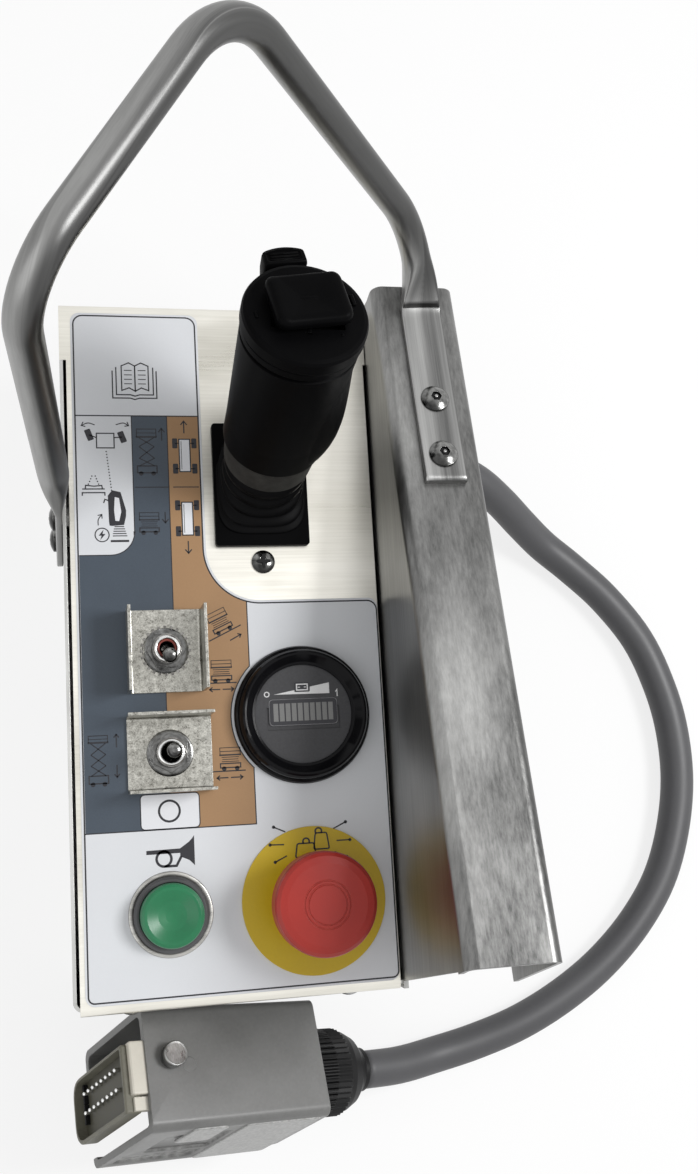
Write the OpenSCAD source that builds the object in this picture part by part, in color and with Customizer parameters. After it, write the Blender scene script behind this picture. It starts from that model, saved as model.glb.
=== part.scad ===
// Hand-held platform control box: sheet-metal case with a rail hook, a bent carry handle,
// a pistol-grip joystick, switches on the panel and a cable that ends in a rectangular connector.
// The base lies on Z = 0. +Y is the joystick end, +Z is out of the panel.

/* [Case] */
// Width of the case over the outer walls
box_w = 136; // [132:1:160]
// Length of the case over the end lips of the cover
box_l = 296; // [292:1:330]
// Height from the base to the face of the panel
box_h = 110; // [104:1:130]
// Sheet thickness of the tray
tray_t = 1.5; // [1:0.1:2]
// Sheet thickness of the cover plate
cover_t = 1.5; // [1:0.1:2]
// Slot between the side flanges of the cover and the walls
cover_gap = 1.3; // [0.8:0.1:2]
// Depth of the folded end lips of the cover
cover_lip_h = 10; // [8:0.5:11]
// Depth of the folded side flanges of the cover
cover_side_h = 8; // [6:0.5:9]
// Outer bend radius of the cover at the joystick end
cover_bend_r = 5; // [3:0.5:7]
// Radius of the upright corners of the tray
corner_r = 4; // [3:0.5:8]
// Length at the joystick end where the plate runs over the walls
wide_l = 26; // [20:1:34]
// Thickness of the printed panel sheet
label_t = 0.4; // [0.2:0.1:0.8]

/* [Rail hook] */
// Sheet thickness of the hook
hook_t = 2; // [1.5:0.1:3]
// Overall width of the hook over its two legs
hook_w = 37; // [34:0.5:44]
// Outer bend radius of the hook
hook_bend_r = 5; // [4:0.5:7]
// Slope of the hook along the case, in degrees
hook_slope = 14; // [11:0.5:15]
// Height of the upper face of the hook above the panel, halfway along the case
hook_rise = 57.85; // [54:0.05:62]
// Depth of the free leg of the hook
hook_leg = 55; // [40:1:64]

/* [Carry handle] */
// Diameter of the handle tube
handle_d = 12.5; // [11:0.5:14]
// Width of the flattened ends
tab_w = 17.5; // [16:0.5:19]
// Thickness of the flattened ends
tab_t = 3; // [2.5:0.1:4]
// Diameter of the handle screws
handle_screw_d = 5; // [4:0.5:6]
// Distance between the two screws of an end
handle_screw_pitch = 26.5; // [22:0.5:30]

/* [Joystick] */
// Length of the grip axis from the panel to the face of the cap
grip_reach = 112.7; // [106:0.1:120]
// Radius of the cap
cap_r = 23.4; // [22:0.1:26]
// Radius of the grip at its lower end
grip_r = 20.5; // [20:0.1:22]
// Lean of the released grip away from the operator, in degrees
lean_fwd = 18.8; // [14:0.1:20]
// Lean of the released grip to the hook side, in degrees
lean_side = 1.7; // [0:0.1:3]
// Width of the flange
flange_w = 40.5; // [38:0.5:46]
// Length of the flange
flange_l = 54; // [52:0.5:58]
// Number of ribs of the boot
boot_ribs = 5; // [3:1:7]

/* [Controls] */
// Diameter of the yellow disc of the stop button
disc_d = 60; // [56:1:64]
// Diameter of the stop button's head
stop_head_d = 41; // [38:0.5:44]
// Height of the stop button's head above the panel
stop_h = 30; // [28:0.5:34]
// Diameter of the horn button's bezel
horn_d = 30; // [28:0.5:32]
// Diameter of the gauge bezel
gauge_d = 58; // [54:0.5:62]
// Height of the legs of the switch guards
guard_h = 18; // [14:0.5:22]
// Width of the switch guards between the outer faces of the legs
guard_w = 32; // [29:0.5:36]
// Length of the switch guards along the legs
guard_l = 34.5; // [30:0.5:38]
// Length of a toggle lever above its ball
lever_l = 24; // [20:0.5:26]
// Throw of the toggle levers each way, in degrees
lever_throw = 12; // [8:1:12]

/* [Cable and connector] */
// Diameter of the supply cable
cable_d = 17; // [14:0.5:17]
// Length of the connector hood from mouth to gland
hood_l = 82; // [76:1:88]
// Width of the face of the hood that carries the peg
hood_w = 49.5; // [46:0.5:49.5]
// Depth of the hood from peg face to peg face
hood_d = 66; // [60:1:66]
// Wall thickness of the hood
hood_wall = 3; // [2.5:0.1:4]
// Number of contact pins in a row
pin_count = 8; // [4:1:9]
// Distance between neighbouring contact pins
pin_pitch = 5.4; // [4:0.1:5.6]

/* [Hidden] */

// Fine and coarse facets of round things
fine = 96;
round_fn = 48;
small_fn = 32;
// Overrun of every cut, clearance of a screw in its hole, gap of a seated piece,
// and radial clearance of a running fit
cut = 1;
screw_gap = 0.15;
seat_gap = 0.3;
run_gap = 0.05;

// Limits of the case in X and Y, and where the hook's wall starts
x_lo = -box_w / 2;
x_hi = box_w / 2;
y_lo = -box_l / 2;
y_hi = box_l / 2;
hook_x = x_hi - hook_t;
tray_y = box_l / 2 - cover_t - seat_gap;
wall_top = box_h - cover_t - seat_gap;
plate_z = box_h - cover_t;
wide_y = y_hi - wide_l;

// Places of the controls, from the left wall and the button end
joy_pos = [83.5, 214.5];
stop_pos = [98, 38.4];
horn_pos = [39.3, 37];
gauge_pos = [97, 115];
upper_pos = [40.6, 143.6];
lower_pos = [41, 101.4];
// Margins of the label on the left, on the right, at the button end and at the joystick end
label_left = 4.8;
label_right = 3.6;
label_low = 3.8;
label_high = 4.8;
// Width of the label's tall strip, top of its wide part, and its corner radii
strip_w = 54.4;
wide_part_l = 160.4;
label_notch_r = 22.8;
label_corner_r = 4;

// Hook: heights are of the upper face, above the base
hook_tan = tan(hook_slope);
hook_base_z = box_h + hook_rise;
hook_y0 = y_lo + 17.5;
hook_y1 = y_hi + 3;
hook_len = (hook_y1 - hook_y0) / cos(hook_slope);
hook_step = 3;
hook_root = 6;
hook_inset = 0.5;

// Return flanges of the tray that carry the hook
return_l = 16;
return_top = box_h - 20;
hook_screw_d = 4;
hook_screw_z = [28, 68];

// Handle: flattened ends, bends and their radii
tab_hole_in = 12;
left_tab_z = [box_h - 54, box_h + 8];
left_tab_y = y_lo + 206.5;
left_lean_share = 0.136;
right_tab_y = [y_lo + 204, y_lo + 285];
handle_x = hook_x + 19.8;
handle_bend = [[-80.3, 81.8, 281.5], [-12.7, 184.5, 278.5], [85.7, 168.3, 144.2]];
handle_bend_r = [20, 28, 35, 42, 14];
handle_fade = 30;
handle_ring = 9;
handle_sides = 20;
handle_head_r = 5.6;
handle_head_h = 2.9;

// Joystick
axle_depth = 8;
axle_r = 3;
hub_r = 8;
hub_l = 15;
shaft_r = 6.2;
collar_s = [22, 36];
flange_t = 3;
joy_screw_y = 33.7;
joy_house_w = 36;
joy_house_l = 50;
joy_house_h = 66;
joy_pocket_d = 26;
cap_h = 7;
groove_s = [8.2, 12.5];
boot_sides = 28;
boot_wall = 1.6;

// Stop button, horn button and gauge
stop_head_h = 12.5;
stop_stem_r = 7;
stop_travel = 4;
collar_h = 3.2;
panel_hole_r = 11;
mount_r = 11.1;
horn_cap_h = 10.5;
horn_travel = 3.5;
gauge_h = 8;
gauge_face_d = 41.5;
gauge_body_d = 52;
gauge_body_l = 38;

// Toggle switches
bushing_r = 5.95;
bushing_bore = 4.5;
bushing_h = 9;
ball_r = 3;
ball_z = 3.5;
lever_pin_r = 0.8;
lever_pin_l = 8.6;
toggle_nut_af = 14;
toggle_nut_h = 2.4;
guard_t = 1.2;
toggle_body = [13.5, 29, 22];

// Gland of the case, and the route of the cable
gland_y = y_hi - 56;
gland_z = 50;
gland_r = 12.5;
gland_l = 35;
gland_thread_r = 10;
cable_sides = 10;
cable_route = [
  [106, 92, 50], [122, 91, 48], [138, 86, 41], [153, 78, 31], [168, 68, 20], [182, 58, 12],
  [198, 46, 9], [216, 29, 8.6], [233, 6, 8.6], [244, -20, 8.6], [249, -44, 8.6],
  [249, -70, 8.6], [243, -96, 8.6], [232, -120, 8.6], [216, -141, 8.6], [196, -159, 8.6],
  [174, -173, 8.6], [150, -184, 8.6], [126, -191, 8.6], [104, -195, 10.5], [84, -196.6, 17.6]
];

// Connector hood, in its own frame: X from the mouth to the gland, Y across the peg face
hood_at = [-37.9, -194.2, 104.6];
hood_turn = [-25.06, 19.56, -5.29];
hood_r = 4;
insert_out = 9;
insert_w = 34;
insert_d = 56;
pin_r = 1.05;
pin_row = 10;
pin_out = 5.5;
peg_r = 4.7;
peg_h = 6.5;
peg_in = 19;
nut_r = 19.2;
nut_l = 33;
nut_teeth = 44;

// Board inside the case
board_size = [96, 150, 1.6];
board_z = 10;
board_y = y_lo + 105;

// Box with round upright corners
module round_box(w, l, h, r) {
  translate([-w / 2 + r, -l / 2, 0]) cube([w - 2 * r, l, h]);
  translate([-w / 2, -l / 2 + r, 0]) cube([w, l - 2 * r, h]);
  for (sx = [-1, 1], sy = [-1, 1])
    translate([sx * (w / 2 - r), sy * (l / 2 - r), 0]) cylinder(r = r, h = h, $fn = small_fn);
}

// Quarter of a bent sheet along Y; its outer corner lies at the origin, towards +X and +Z
module sheet_bend(r, t, len) {
  intersection() {
    translate([-r, 0, -r]) rotate([-90, 0, 0]) difference() {
      cylinder(r = r, h = len, $fn = round_fn);
      translate([0, 0, -cut]) cylinder(r = r - t, h = len + 2 * cut, $fn = round_fn);
    }
    translate([-r, 0, -r]) cube([r, len, r]);
  }
}

// Place on the panel, given from the left wall and the button end
module on_panel(p) {
  translate([x_lo + p[0], y_lo + p[1], box_h]) children();
}

// Screw with a low round head, a star socket and its shank along -Z
module button_screw(d, head_r, head_h, len) {
  difference() {
    union() {
      intersection() {
        cylinder(r = head_r, h = head_h, $fn = small_fn);
        translate([0, 0, head_h - head_r * 1.75]) sphere(r = head_r * 1.75, $fn = round_fn);
      }
      translate([0, 0, -len]) cylinder(r = d / 2 - screw_gap, h = len + head_h / 3, $fn = small_fn);
    }
    translate([0, 0, head_h / 2]) cylinder(r = head_r * 0.42, h = head_h, $fn = 6);
  }
}

// Hexagon nut across flats af
module hex_nut(af, h, bore_r) {
  difference() {
    cylinder(r = af / sqrt(3), h = h, $fn = 6);
    translate([0, 0, -cut]) cylinder(r = bore_r, h = h + 2 * cut, $fn = small_fn);
  }
}

// Round panel nut with a bore
module ring_nut(r, h, bore_r) {
  difference() {
    cylinder(r = r, h = h, $fn = round_fn);
    translate([0, 0, -cut]) cylinder(r = bore_r, h = h + 2 * cut, $fn = round_fn);
  }
}

// Case

module hook_holes() {
  for (z = hook_screw_z, sy = [-1, 1])
    translate([hook_x - tray_t - cut, sy * (tray_y - return_l / 2), z])
      rotate([0, 90, 0]) cylinder(d = hook_screw_d, h = tray_t + hook_t + 2 * cut, $fn = small_fn);
}

module left_handle_holes(from_x, depth) {
  for (z = left_screw_z)
    translate([from_x, left_y(z), z]) rotate([0, 90, 0])
      cylinder(d = handle_screw_d, h = depth, $fn = small_fn);
}

module cover_screw_holes() {
  for (sx = [-1, 1])
    translate([sx * cover_screw_x, y_lo - cut, cover_screw_z]) rotate([-90, 0, 0])
      cylinder(d = hook_screw_d, h = box_l + 2 * cut, $fn = small_fn);
}

cover_screw_x = box_w * 0.33;
cover_screw_z = box_h - cover_bend_r - cover_lip_h / 2 - 1;

module enclosure_tray() {
  color("#b9babb") difference() {
    union() {
      difference() {
        translate([x_lo, -tray_y, 0]) {
          translate([corner_r, 0, 0]) cube([hook_x - x_lo - corner_r, 2 * tray_y, wall_top]);
          translate([0, corner_r, 0]) cube([box_w / 2, 2 * (tray_y - corner_r), wall_top]);
          translate([0, corner_r, 0]) cube([tray_t, wide_y + tray_y - corner_r, box_h]);
          for (y = [corner_r, 2 * tray_y - corner_r])
            translate([corner_r, y, 0]) cylinder(r = corner_r, h = wall_top, $fn = small_fn);
        }
        translate([x_lo + tray_t, -tray_y + tray_t, tray_t]) {
          inner_r = corner_r - tray_t;
          inner_l = 2 * (tray_y - tray_t);
          translate([inner_r, 0, 0]) cube([box_w, inner_l, box_h]);
          translate([0, inner_r, 0]) cube([box_w, inner_l - 2 * inner_r, box_h]);
          for (y = [inner_r, inner_l - inner_r])
            translate([inner_r, y, 0]) cylinder(r = inner_r, h = box_h, $fn = small_fn);
        }
      }
      for (y = [-tray_y, tray_y - return_l])
        translate([hook_x - tray_t, y, tray_t]) cube([tray_t, return_l, return_top - tray_t]);
    }
    hook_holes();
    left_handle_holes(x_lo - cut, tray_t + 2 * cut);
    cover_screw_holes();
    // Room for the rounded bend of the cover at the joystick end
    translate([x_lo - cut, y_hi - cover_bend_r, box_h - cover_bend_r])
      cube([box_w + 2 * cut, cover_bend_r, cover_bend_r + cut]);
  }
}

// Upper face of the hook at a place along Y
function hook_z(y) = hook_base_z - y * hook_tan;

module hook_frame(y) {
  translate([0, y, hook_z(y)]) rotate([-hook_slope, 0, 0]) children();
}

// Point of the hook's wall at a depth under its upper face
function wall_point(y, depth) = [y - depth * sin(hook_slope), hook_z(y) - depth * cos(hook_slope)];

module hook_bracket() {
  wall_depth = hook_bend_r + hook_root / 2;
  color("#c4c5c5") difference() {
    union() {
      translate([hook_x, 0, 0]) rotate([90, 0, 90]) linear_extrude(hook_t) polygon([
        [y_lo, 0], [y_hi, 0], [y_hi, box_h], wall_point(hook_y1 - hook_inset, wall_depth),
        wall_point(hook_y0 + hook_inset, wall_depth), [y_lo + hook_step, box_h], [y_lo, box_h]
      ]);
      hook_frame(hook_y0) {
        translate([hook_x + hook_bend_r, 0, -hook_t])
          cube([hook_w - 2 * hook_bend_r, hook_len, hook_t]);
        translate([hook_x + hook_w, 0, 0]) sheet_bend(hook_bend_r, hook_t, hook_len);
        translate([hook_x, hook_len, 0]) rotate([0, 0, 180]) sheet_bend(hook_bend_r, hook_t, hook_len);
        translate([hook_x, 0, -hook_bend_r - hook_root]) cube([hook_t, hook_len, hook_root]);
        translate([hook_x + hook_w - hook_t, 0, -hook_leg])
          cube([hook_t, hook_len, hook_leg - hook_bend_r]);
      }
    }
    hook_holes();
    for (i = [0, 1]) on_right_tab(i) translate([0, 0, -hook_t - tab_t - cut])
      cylinder(d = handle_screw_d, h = hook_t + tab_t + 2 * cut, $fn = small_fn);
    translate([hook_x - cut, gland_y, gland_z]) rotate([0, 90, 0])
      cylinder(r = gland_thread_r + screw_gap, h = hook_t + 2 * cut, $fn = round_fn);
  }
}

module cover_plate() {
  left = x_lo + tray_t + cover_gap;
  right = hook_x - cover_gap;
  low_r = cover_t + 1;
  color("#d2d2d0") difference() {
    union() {
      translate([left, y_lo + low_r, plate_z])
        cube([right - left, box_l - low_r - cover_bend_r, cover_t]);
      translate([x_lo, wide_y, plate_z])
        cube([hook_x - seat_gap - x_lo, y_hi - wide_y - cover_bend_r, cover_t]);
      translate([hook_x - seat_gap, y_hi, box_h]) rotate([0, 0, 90])
        sheet_bend(cover_bend_r, cover_t, hook_x - seat_gap - x_lo);
      translate([x_lo, y_hi - cover_t, box_h - cover_bend_r - cover_lip_h])
        cube([hook_x - seat_gap - x_lo, cover_t, cover_lip_h]);
      translate([left, y_lo, box_h]) rotate([0, 0, -90]) sheet_bend(low_r, cover_t, right - left);
      translate([left, y_lo, box_h - cover_bend_r - cover_lip_h])
        cube([right - left, cover_t, cover_lip_h + cover_bend_r - low_r]);
      for (x = [left, right - cover_t])
        translate([x, y_lo + corner_r + cover_gap, plate_z - cover_side_h])
          cube([cover_t, wide_y - y_lo - corner_r - 2 * cover_gap, cover_side_h]);
    }
    panel_holes();
    cover_screw_holes();
  }
}

// Holes that the controls need through the plate and the label
module panel_holes() {
  depth = cover_t + label_t + 2 * cut;
  on_panel(joy_pos) translate([0, 0, -cover_t - cut]) {
    translate([-flange_w / 2 + 3, -flange_l / 2 + 3, 0]) cube([flange_w - 6, flange_l - 6, depth]);
    for (sy = [-1, 1]) translate([0, sy * joy_screw_y, 0]) cylinder(r = 2, h = depth, $fn = small_fn);
  }
  for (p = [stop_pos, horn_pos]) on_panel(p) translate([0, 0, -cover_t - cut])
    cylinder(r = mount_r + screw_gap, h = depth, $fn = round_fn);
  on_panel(gauge_pos) translate([0, 0, -cover_t - cut])
    cylinder(d = gauge_body_d + 2 * screw_gap, h = depth, $fn = fine);
  for (p = [upper_pos, lower_pos]) on_panel(p) translate([0, 0, -cover_t - cut])
    cylinder(r = bushing_r + screw_gap, h = depth, $fn = round_fn);
}

module control_label() {
  w = box_w - label_left - label_right;
  l = box_l - label_low - label_high;
  c = label_corner_r;
  n = label_notch_r;
  color("#c9ccd0") translate([x_lo + label_left, y_lo + label_low, box_h]) difference() {
    union() {
      translate([c, 0, 0]) cube([w - 2 * c, wide_part_l, label_t]);
      translate([0, c, 0]) cube([w, wide_part_l - 2 * c, label_t]);
      translate([0, c, 0]) cube([strip_w, l - 2 * c, label_t]);
      translate([c, c, 0]) cube([strip_w - 2 * c, l - c, label_t]);
      for (p = [[c, c], [w - c, c], [w - c, wide_part_l - c], [c, l - c], [strip_w - c, l - c]])
        translate(p) cylinder(r = c, h = label_t, $fn = small_fn);
      translate([strip_w - cut, wide_part_l - cut, 0]) cube([n + cut, n + cut, label_t]);
    }
    translate([strip_w + n, wide_part_l + n, -cut]) cylinder(r = n, h = label_t + 2 * cut, $fn = fine);
    translate([-x_lo - label_left, -y_lo - label_low, -box_h]) panel_holes();
    translate([horn_pos[0] - label_left, horn_pos[1] - label_low, -cut])
      cylinder(r = horn_d / 2 + 2, h = label_t + 2 * cut, $fn = fine);
  }
}

module cover_screws() {
  color("#a8a9aa") for (sx = [-1, 1]) {
    translate([sx * cover_screw_x, y_hi, cover_screw_z]) rotate([-90, 0, 0])
      button_screw(hook_screw_d, 4, 2, 6);
    translate([sx * cover_screw_x, y_lo, cover_screw_z]) rotate([90, 0, 0])
      button_screw(hook_screw_d, 4, 2, 6);
  }
}

module hook_screws() {
  color("#a8a9aa") for (z = hook_screw_z, sy = [-1, 1])
    translate([x_hi, sy * (tray_y - return_l / 2), z]) rotate([0, 90, 0])
      button_screw(hook_screw_d, 4, 2, 7);
}

// Carry handle: a tube bent in space whose ends are pressed flat

function left_y(z) = left_tab_y - (box_h - z) * left_lean_share;
left_dir = norm([0, left_lean_share, 1]);
left_screw_z = [
  left_tab_z[0] + tab_hole_in,
  left_tab_z[0] + tab_hole_in + handle_screw_pitch / left_dir
];
tab_mid = [x_lo - tab_t / 2, hook_z(0)];

module on_right_tab(i) {
  hook_frame(right_tab_y[0] + (tab_hole_in + i * handle_screw_pitch) * cos(hook_slope))
    translate([handle_x, 0, tab_t]) children();
}

function on_hook(y) = [handle_x, y, hook_z(y) + tab_t / 2 / cos(hook_slope)];
handle_corners = [
  [x_lo - tab_t / 2, left_y(left_tab_z[0]), left_tab_z[0]],
  [x_lo - tab_t / 2, left_y(left_tab_z[1]), left_tab_z[1]],
  handle_bend[0], handle_bend[1], handle_bend[2],
  on_hook(right_tab_y[1]),
  on_hook(right_tab_y[0])
];
function unit(v) = v / norm(v);
function mix(a, b, f) = a * (1 - f) + b * f;
// Arc of radius r that rounds corner b between a and c
function bend_arc(a, b, c, r) =
  let (u = unit(a - b), v = unit(c - b), half = acos(u * v) / 2,
       centre = b + unit(u + v) * r / sin(half),
       p = b + u * r / tan(half) - centre, q = b + v * r / tan(half) - centre,
       turn = 180 - 2 * half, n = max(2, ceil(turn / 11)))
  [for (i = [0 : n]) centre + (p * sin(turn - turn * i / n) + q * sin(turn * i / n)) / sin(turn)];
handle_line = concat(
  [handle_corners[0]],
  [for (i = [1 : 5], p = bend_arc(handle_corners[i - 1], handle_corners[i],
                                  handle_corners[i + 1], handle_bend_r[i - 1])) p],
  [handle_corners[6]]
);
// The same line with points no further apart than step
function spaced(line, step) = [
  for (i = [0 : len(line) - 2])
    let (n = max(1, ceil(norm(line[i + 1] - line[i]) / step)))
    for (k = [0 : n - 1]) mix(line[i], line[i + 1], k / n),
  line[len(line) - 1]
];
function running(line, i = 0, sum = 0) =
  i == len(line) - 1 ? [sum] : concat([sum], running(line, i + 1, sum + norm(line[i + 1] - line[i])));
function soft_step(x) = let (c = min(1, max(0, x))) c * c * (3 - 2 * c);
function sgn_pow(x, p) = sign(x) * pow(abs(x), p);
// Ring around p: u is the thin direction, flat runs from 0 for round to 1 for pressed flat
function tube_ring(p, along, ref, flat) =
  let (u = unit(ref - along * (ref * along)), v = cross(along, u),
       half_u = mix(handle_d / 2, tab_t / 2, flat), half_v = mix(handle_d / 2, tab_w / 2, flat),
       power = 2 / mix(2, 9, flat))
  [for (k = [0 : handle_sides - 1]) let (a = 360 * (k + 0.5) / handle_sides)
    p + u * half_u * sgn_pow(sin(a), power) + v * half_v * sgn_pow(cos(a), power)];

// Closed solid through rings of equal size
module skin(rings, sides) {
  n = len(rings);
  points = [for (r = rings, p = r) p];
  walls = [for (i = [0 : n - 2], k = [0 : sides - 1])
    let (a = i * sides + k, b = i * sides + (k + 1) % sides) each
    [[a, b, b + sides], [a, b + sides, a + sides]]];
  first = [for (k = [sides - 1 : -1 : 0]) k];
  last = [for (k = [0 : sides - 1]) (n - 1) * sides + k];
  polyhedron(points, concat(walls, [first, last]), convexity = 6);
}

module guard_handle() {
  line = spaced(handle_line, handle_ring);
  way = running(line);
  total = way[len(way) - 1];
  flat_a = norm(handle_corners[1] - handle_corners[0]) - 2;
  flat_b = norm(handle_corners[6] - handle_corners[5]) - 2;
  normal = [0, sin(hook_slope), cos(hook_slope)];
  rings = [for (i = [0 : len(line) - 1])
    let (a = line[max(0, i - 1)], b = line[min(len(line) - 1, i + 1)],
         f = soft_step((way[i] - flat_a - handle_fade) / (total - flat_a - flat_b - 2 * handle_fade)),
         flat = 1 - soft_step(min(way[i] - flat_a, total - flat_b - way[i]) / handle_fade))
    tube_ring(line[i], unit(b - a), mix([1, 0, 0], normal, f), flat)];
  color("#9d9d9c") difference() {
    skin(rings, handle_sides);
    left_handle_holes(x_lo - tab_t - cut, tab_t + 2 * cut);
    for (i = [0, 1]) on_right_tab(i) translate([0, 0, -tab_t - cut])
      cylinder(d = handle_screw_d, h = tab_t + 2 * cut, $fn = small_fn);
  }
}

module handle_screws() {
  color("#8e8f90") {
    for (z = left_screw_z) translate([x_lo - tab_t, left_y(z), z]) rotate([0, -90, 0])
      button_screw(handle_screw_d, handle_head_r, handle_head_h, tab_t + tray_t + 5);
    for (i = [0, 1]) on_right_tab(i)
      button_screw(handle_screw_d, handle_head_r, handle_head_h, tab_t + hook_t + 4);
  }
}

module handle_nuts() {
  color("#8e8f90") {
    for (z = left_screw_z) translate([x_lo + tray_t, left_y(z), z]) rotate([0, 90, 0])
      hex_nut(8, 3.2, handle_screw_d / 2);
    for (i = [0, 1]) on_right_tab(i) translate([0, 0, -tab_t - hook_t - 3.2])
      hex_nut(8, 3.2, handle_screw_d / 2);
  }
}

// Joystick

module joy_base() {
  on_panel(joy_pos) children();
}

// Frame of the released grip; its origin is where the axis meets the panel
module joy_frame() {
  joy_base() rotate([-lean_fwd, lean_side, 0]) children();
}

module joystick_housing() {
  w = joy_house_w;
  l = joy_house_l;
  color("#26272a") difference() {
    joy_base() {
      translate([0, 0, -cover_t - joy_house_h]) round_box(w, l, joy_house_h, 3);
      translate([-7, -joy_screw_y - 7, -cover_t - 4]) cube([14, 2 * joy_screw_y + 14, 4]);
    }
    joy_base() {
      translate([-hub_l / 2 - 1, -l / 2 + 5, -cover_t - joy_pocket_d])
        cube([hub_l + 2, l - 10, joy_pocket_d + cut]);
      for (sy = [-1, 1]) translate([0, sy * joy_screw_y, -cover_t - 5])
        cylinder(r = 2, h = 6, $fn = small_fn);
    }
    axle_frame() cylinder(r = axle_r + run_gap, h = joy_house_w + 2 * cut, center = true, $fn = round_fn);
  }
}

// Frame of the axle: Z runs along X of the case
module axle_frame() {
  joy_frame() translate([0, 0, -axle_depth]) rotate([lean_fwd, 0, 0]) rotate([0, 90 - lean_side, 0])
    children();
}

module joystick_flange() {
  color("#1b1c1e") joy_base() difference() {
    round_box(flange_w, flange_l, flange_t, 1.5);
    translate([0, 0, -cut]) round_box(flange_w - 7, flange_l - 14, flange_t + 2 * cut, 6);
  }
}

module joystick_screws() {
  color("#a8a9aa") joy_base() for (sy = [-1, 1]) translate([0, sy * joy_screw_y, 0])
    button_screw(4, 5, 2.2, 9);
}

module joystick_axle() {
  color("#b0b1b2") axle_frame() cylinder(r = axle_r, h = joy_house_w - 1, center = true, $fn = round_fn);
}

// Ribbed boot: its sections run from the flange's rounded rectangle to the collar's circle
boot_top = collar_s[0] - seat_gap;
function boot_section(f, grow) =
  let (lean = lean_fwd * f, side = lean_side * f, rise = mix(flange_t, boot_top, f),
       half_x = mix(flange_w / 2 - 1, 17.6, soft_step(f * 1.6)) + grow,
       half_y = mix(flange_l / 2 - 4.5, 17.6, soft_step(f * 1.6)) + grow,
       power = 2 / mix(4, 2, soft_step(f * 1.6)),
       across = [cos(side), 0, -sin(side)], up = unit([sin(side), sin(lean), cos(lean)]),
       back = cross(up, across), centre = [0, 0, flange_t * (1 - f)] + joy_axis * rise * f)
  [for (k = [0 : boot_sides - 1]) let (a = 360 * k / boot_sides)
    centre + across * half_x * sgn_pow(cos(a), power) + back * half_y * sgn_pow(sin(a), power)];
joy_axis = unit([tan(lean_side), tan(lean_fwd), 1]);
boot_steps = boot_ribs * 4;

module joystick_boot() {
  outer = [for (i = [0 : boot_steps])
    boot_section(i / boot_steps, -1.1 * (1 - cos(360 * i * boot_ribs / boot_steps)) / 2)];
  inner = [for (i = [4 : -1 : 0]) boot_section(i / 4, -boot_wall - 1.1)];
  rings = concat(outer, inner);
  n = len(rings);
  walls = [for (i = [0 : n - 1], k = [0 : boot_sides - 1])
    let (a = i * boot_sides + k, b = i * boot_sides + (k + 1) % boot_sides,
         c = ((i + 1) % n) * boot_sides + k, d = ((i + 1) % n) * boot_sides + (k + 1) % boot_sides)
    each [[a, d, b], [a, c, d]]];
  color("#17181a") joy_base()
    polyhedron([for (r = rings, p = r) p], walls, convexity = 8);
}

module joystick_shaft() {
  color("#8f9092") {
    joy_frame() difference() {
      union() {
        translate([0, 0, -axle_depth]) rotate([lean_fwd, 0, 0]) rotate([0, 90 - lean_side, 0])
          cylinder(r = hub_r, h = hub_l, center = true, $fn = round_fn);
        translate([0, 0, -axle_depth]) cylinder(r = shaft_r, h = collar_s[0] + 30, $fn = round_fn);
        translate([0, 0, -axle_depth - 16]) cylinder(r = 4, h = 16, $fn = round_fn);
      }
      translate([0, 0, -axle_depth]) rotate([lean_fwd, 0, 0]) rotate([0, 90 - lean_side, 0])
        cylinder(r = axle_r + run_gap, h = hub_l + 2 * cut, center = true, $fn = round_fn);
    }
  }
}

module grip_collar() {
  s0 = collar_s[0];
  s1 = collar_s[1];
  color("#3a3a39") joy_frame() rotate_extrude($fn = fine) polygon([
    [shaft_r + run_gap, s0], [17.2, s0], [18.4, s0 + 1.2], [19.4, s1 - 2], [19.4, s1],
    [shaft_r + run_gap, s1]
  ]);
}

module joystick_grip() {
  s0 = collar_s[1];
  s1 = grip_reach - cap_h;
  bore_top = collar_s[0] + 30 - axle_depth + run_gap;
  color("#1a1b1c") difference() {
    joy_frame() rotate_extrude($fn = fine) polygon([
      [shaft_r + run_gap, s0], [grip_r - 1, s0], [grip_r, s0 + 1.5], [grip_r + 0.2, s0 + 14],
      [cap_r - 1.4, s1 - 22], [cap_r - 0.8, s1 - groove_s[1] + 6], [cap_r - 0.8, s1 - groove_s[1] + 7],
      [cap_r - 2, s1 - groove_s[1] + 7.6], [cap_r - 2, s1 - groove_s[1] + 8.6],
      [cap_r - 0.6, s1 - groove_s[1] + 9.2], [cap_r - 0.6, s1 - 0.8], [cap_r - 1.6, s1],
      [0, s1], [0, bore_top], [shaft_r + run_gap, bore_top]
    ]);
    trigger_pocket();
  }
}

// The trigger sits in a pocket on the far side of the grip
trigger_w = 15.5;
trigger_l = 34;
trigger_top = grip_reach - cap_h - 3.5;
trigger_pin_y = cap_r - 5;

module trigger_pocket() {
  joy_frame() {
    translate([-trigger_w / 2 - seat_gap, cap_r - 11, trigger_top - trigger_l - 2])
      cube([trigger_w + 2 * seat_gap, 20, trigger_l + 2.5]);
    translate([0, trigger_pin_y, trigger_top - 4]) rotate([0, 90, 0])
      cylinder(r = 1.5, h = trigger_w + 8, center = true, $fn = small_fn);
  }
}

module grip_trigger() {
  color("#131415") joy_frame() difference() {
    translate([-trigger_w / 2, trigger_pin_y, trigger_top - 4]) rotate([90, 0, 90])
      linear_extrude(trigger_w) polygon([
        [-3.5, 3.2], [6.5, 4], [10.5, 2.5], [11.3, -2], [10, -10], [8.6, -18], [8, -26],
        [6.5, -trigger_l + 5], [3, -trigger_l + 4.6], [1.5, -24], [-3.5, -12]
      ]);
    translate([0, trigger_pin_y, trigger_top - 4]) rotate([0, 90, 0])
      cylinder(r = 1.5 + run_gap, h = trigger_w + 2 * cut, center = true, $fn = small_fn);
  }
}

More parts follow.
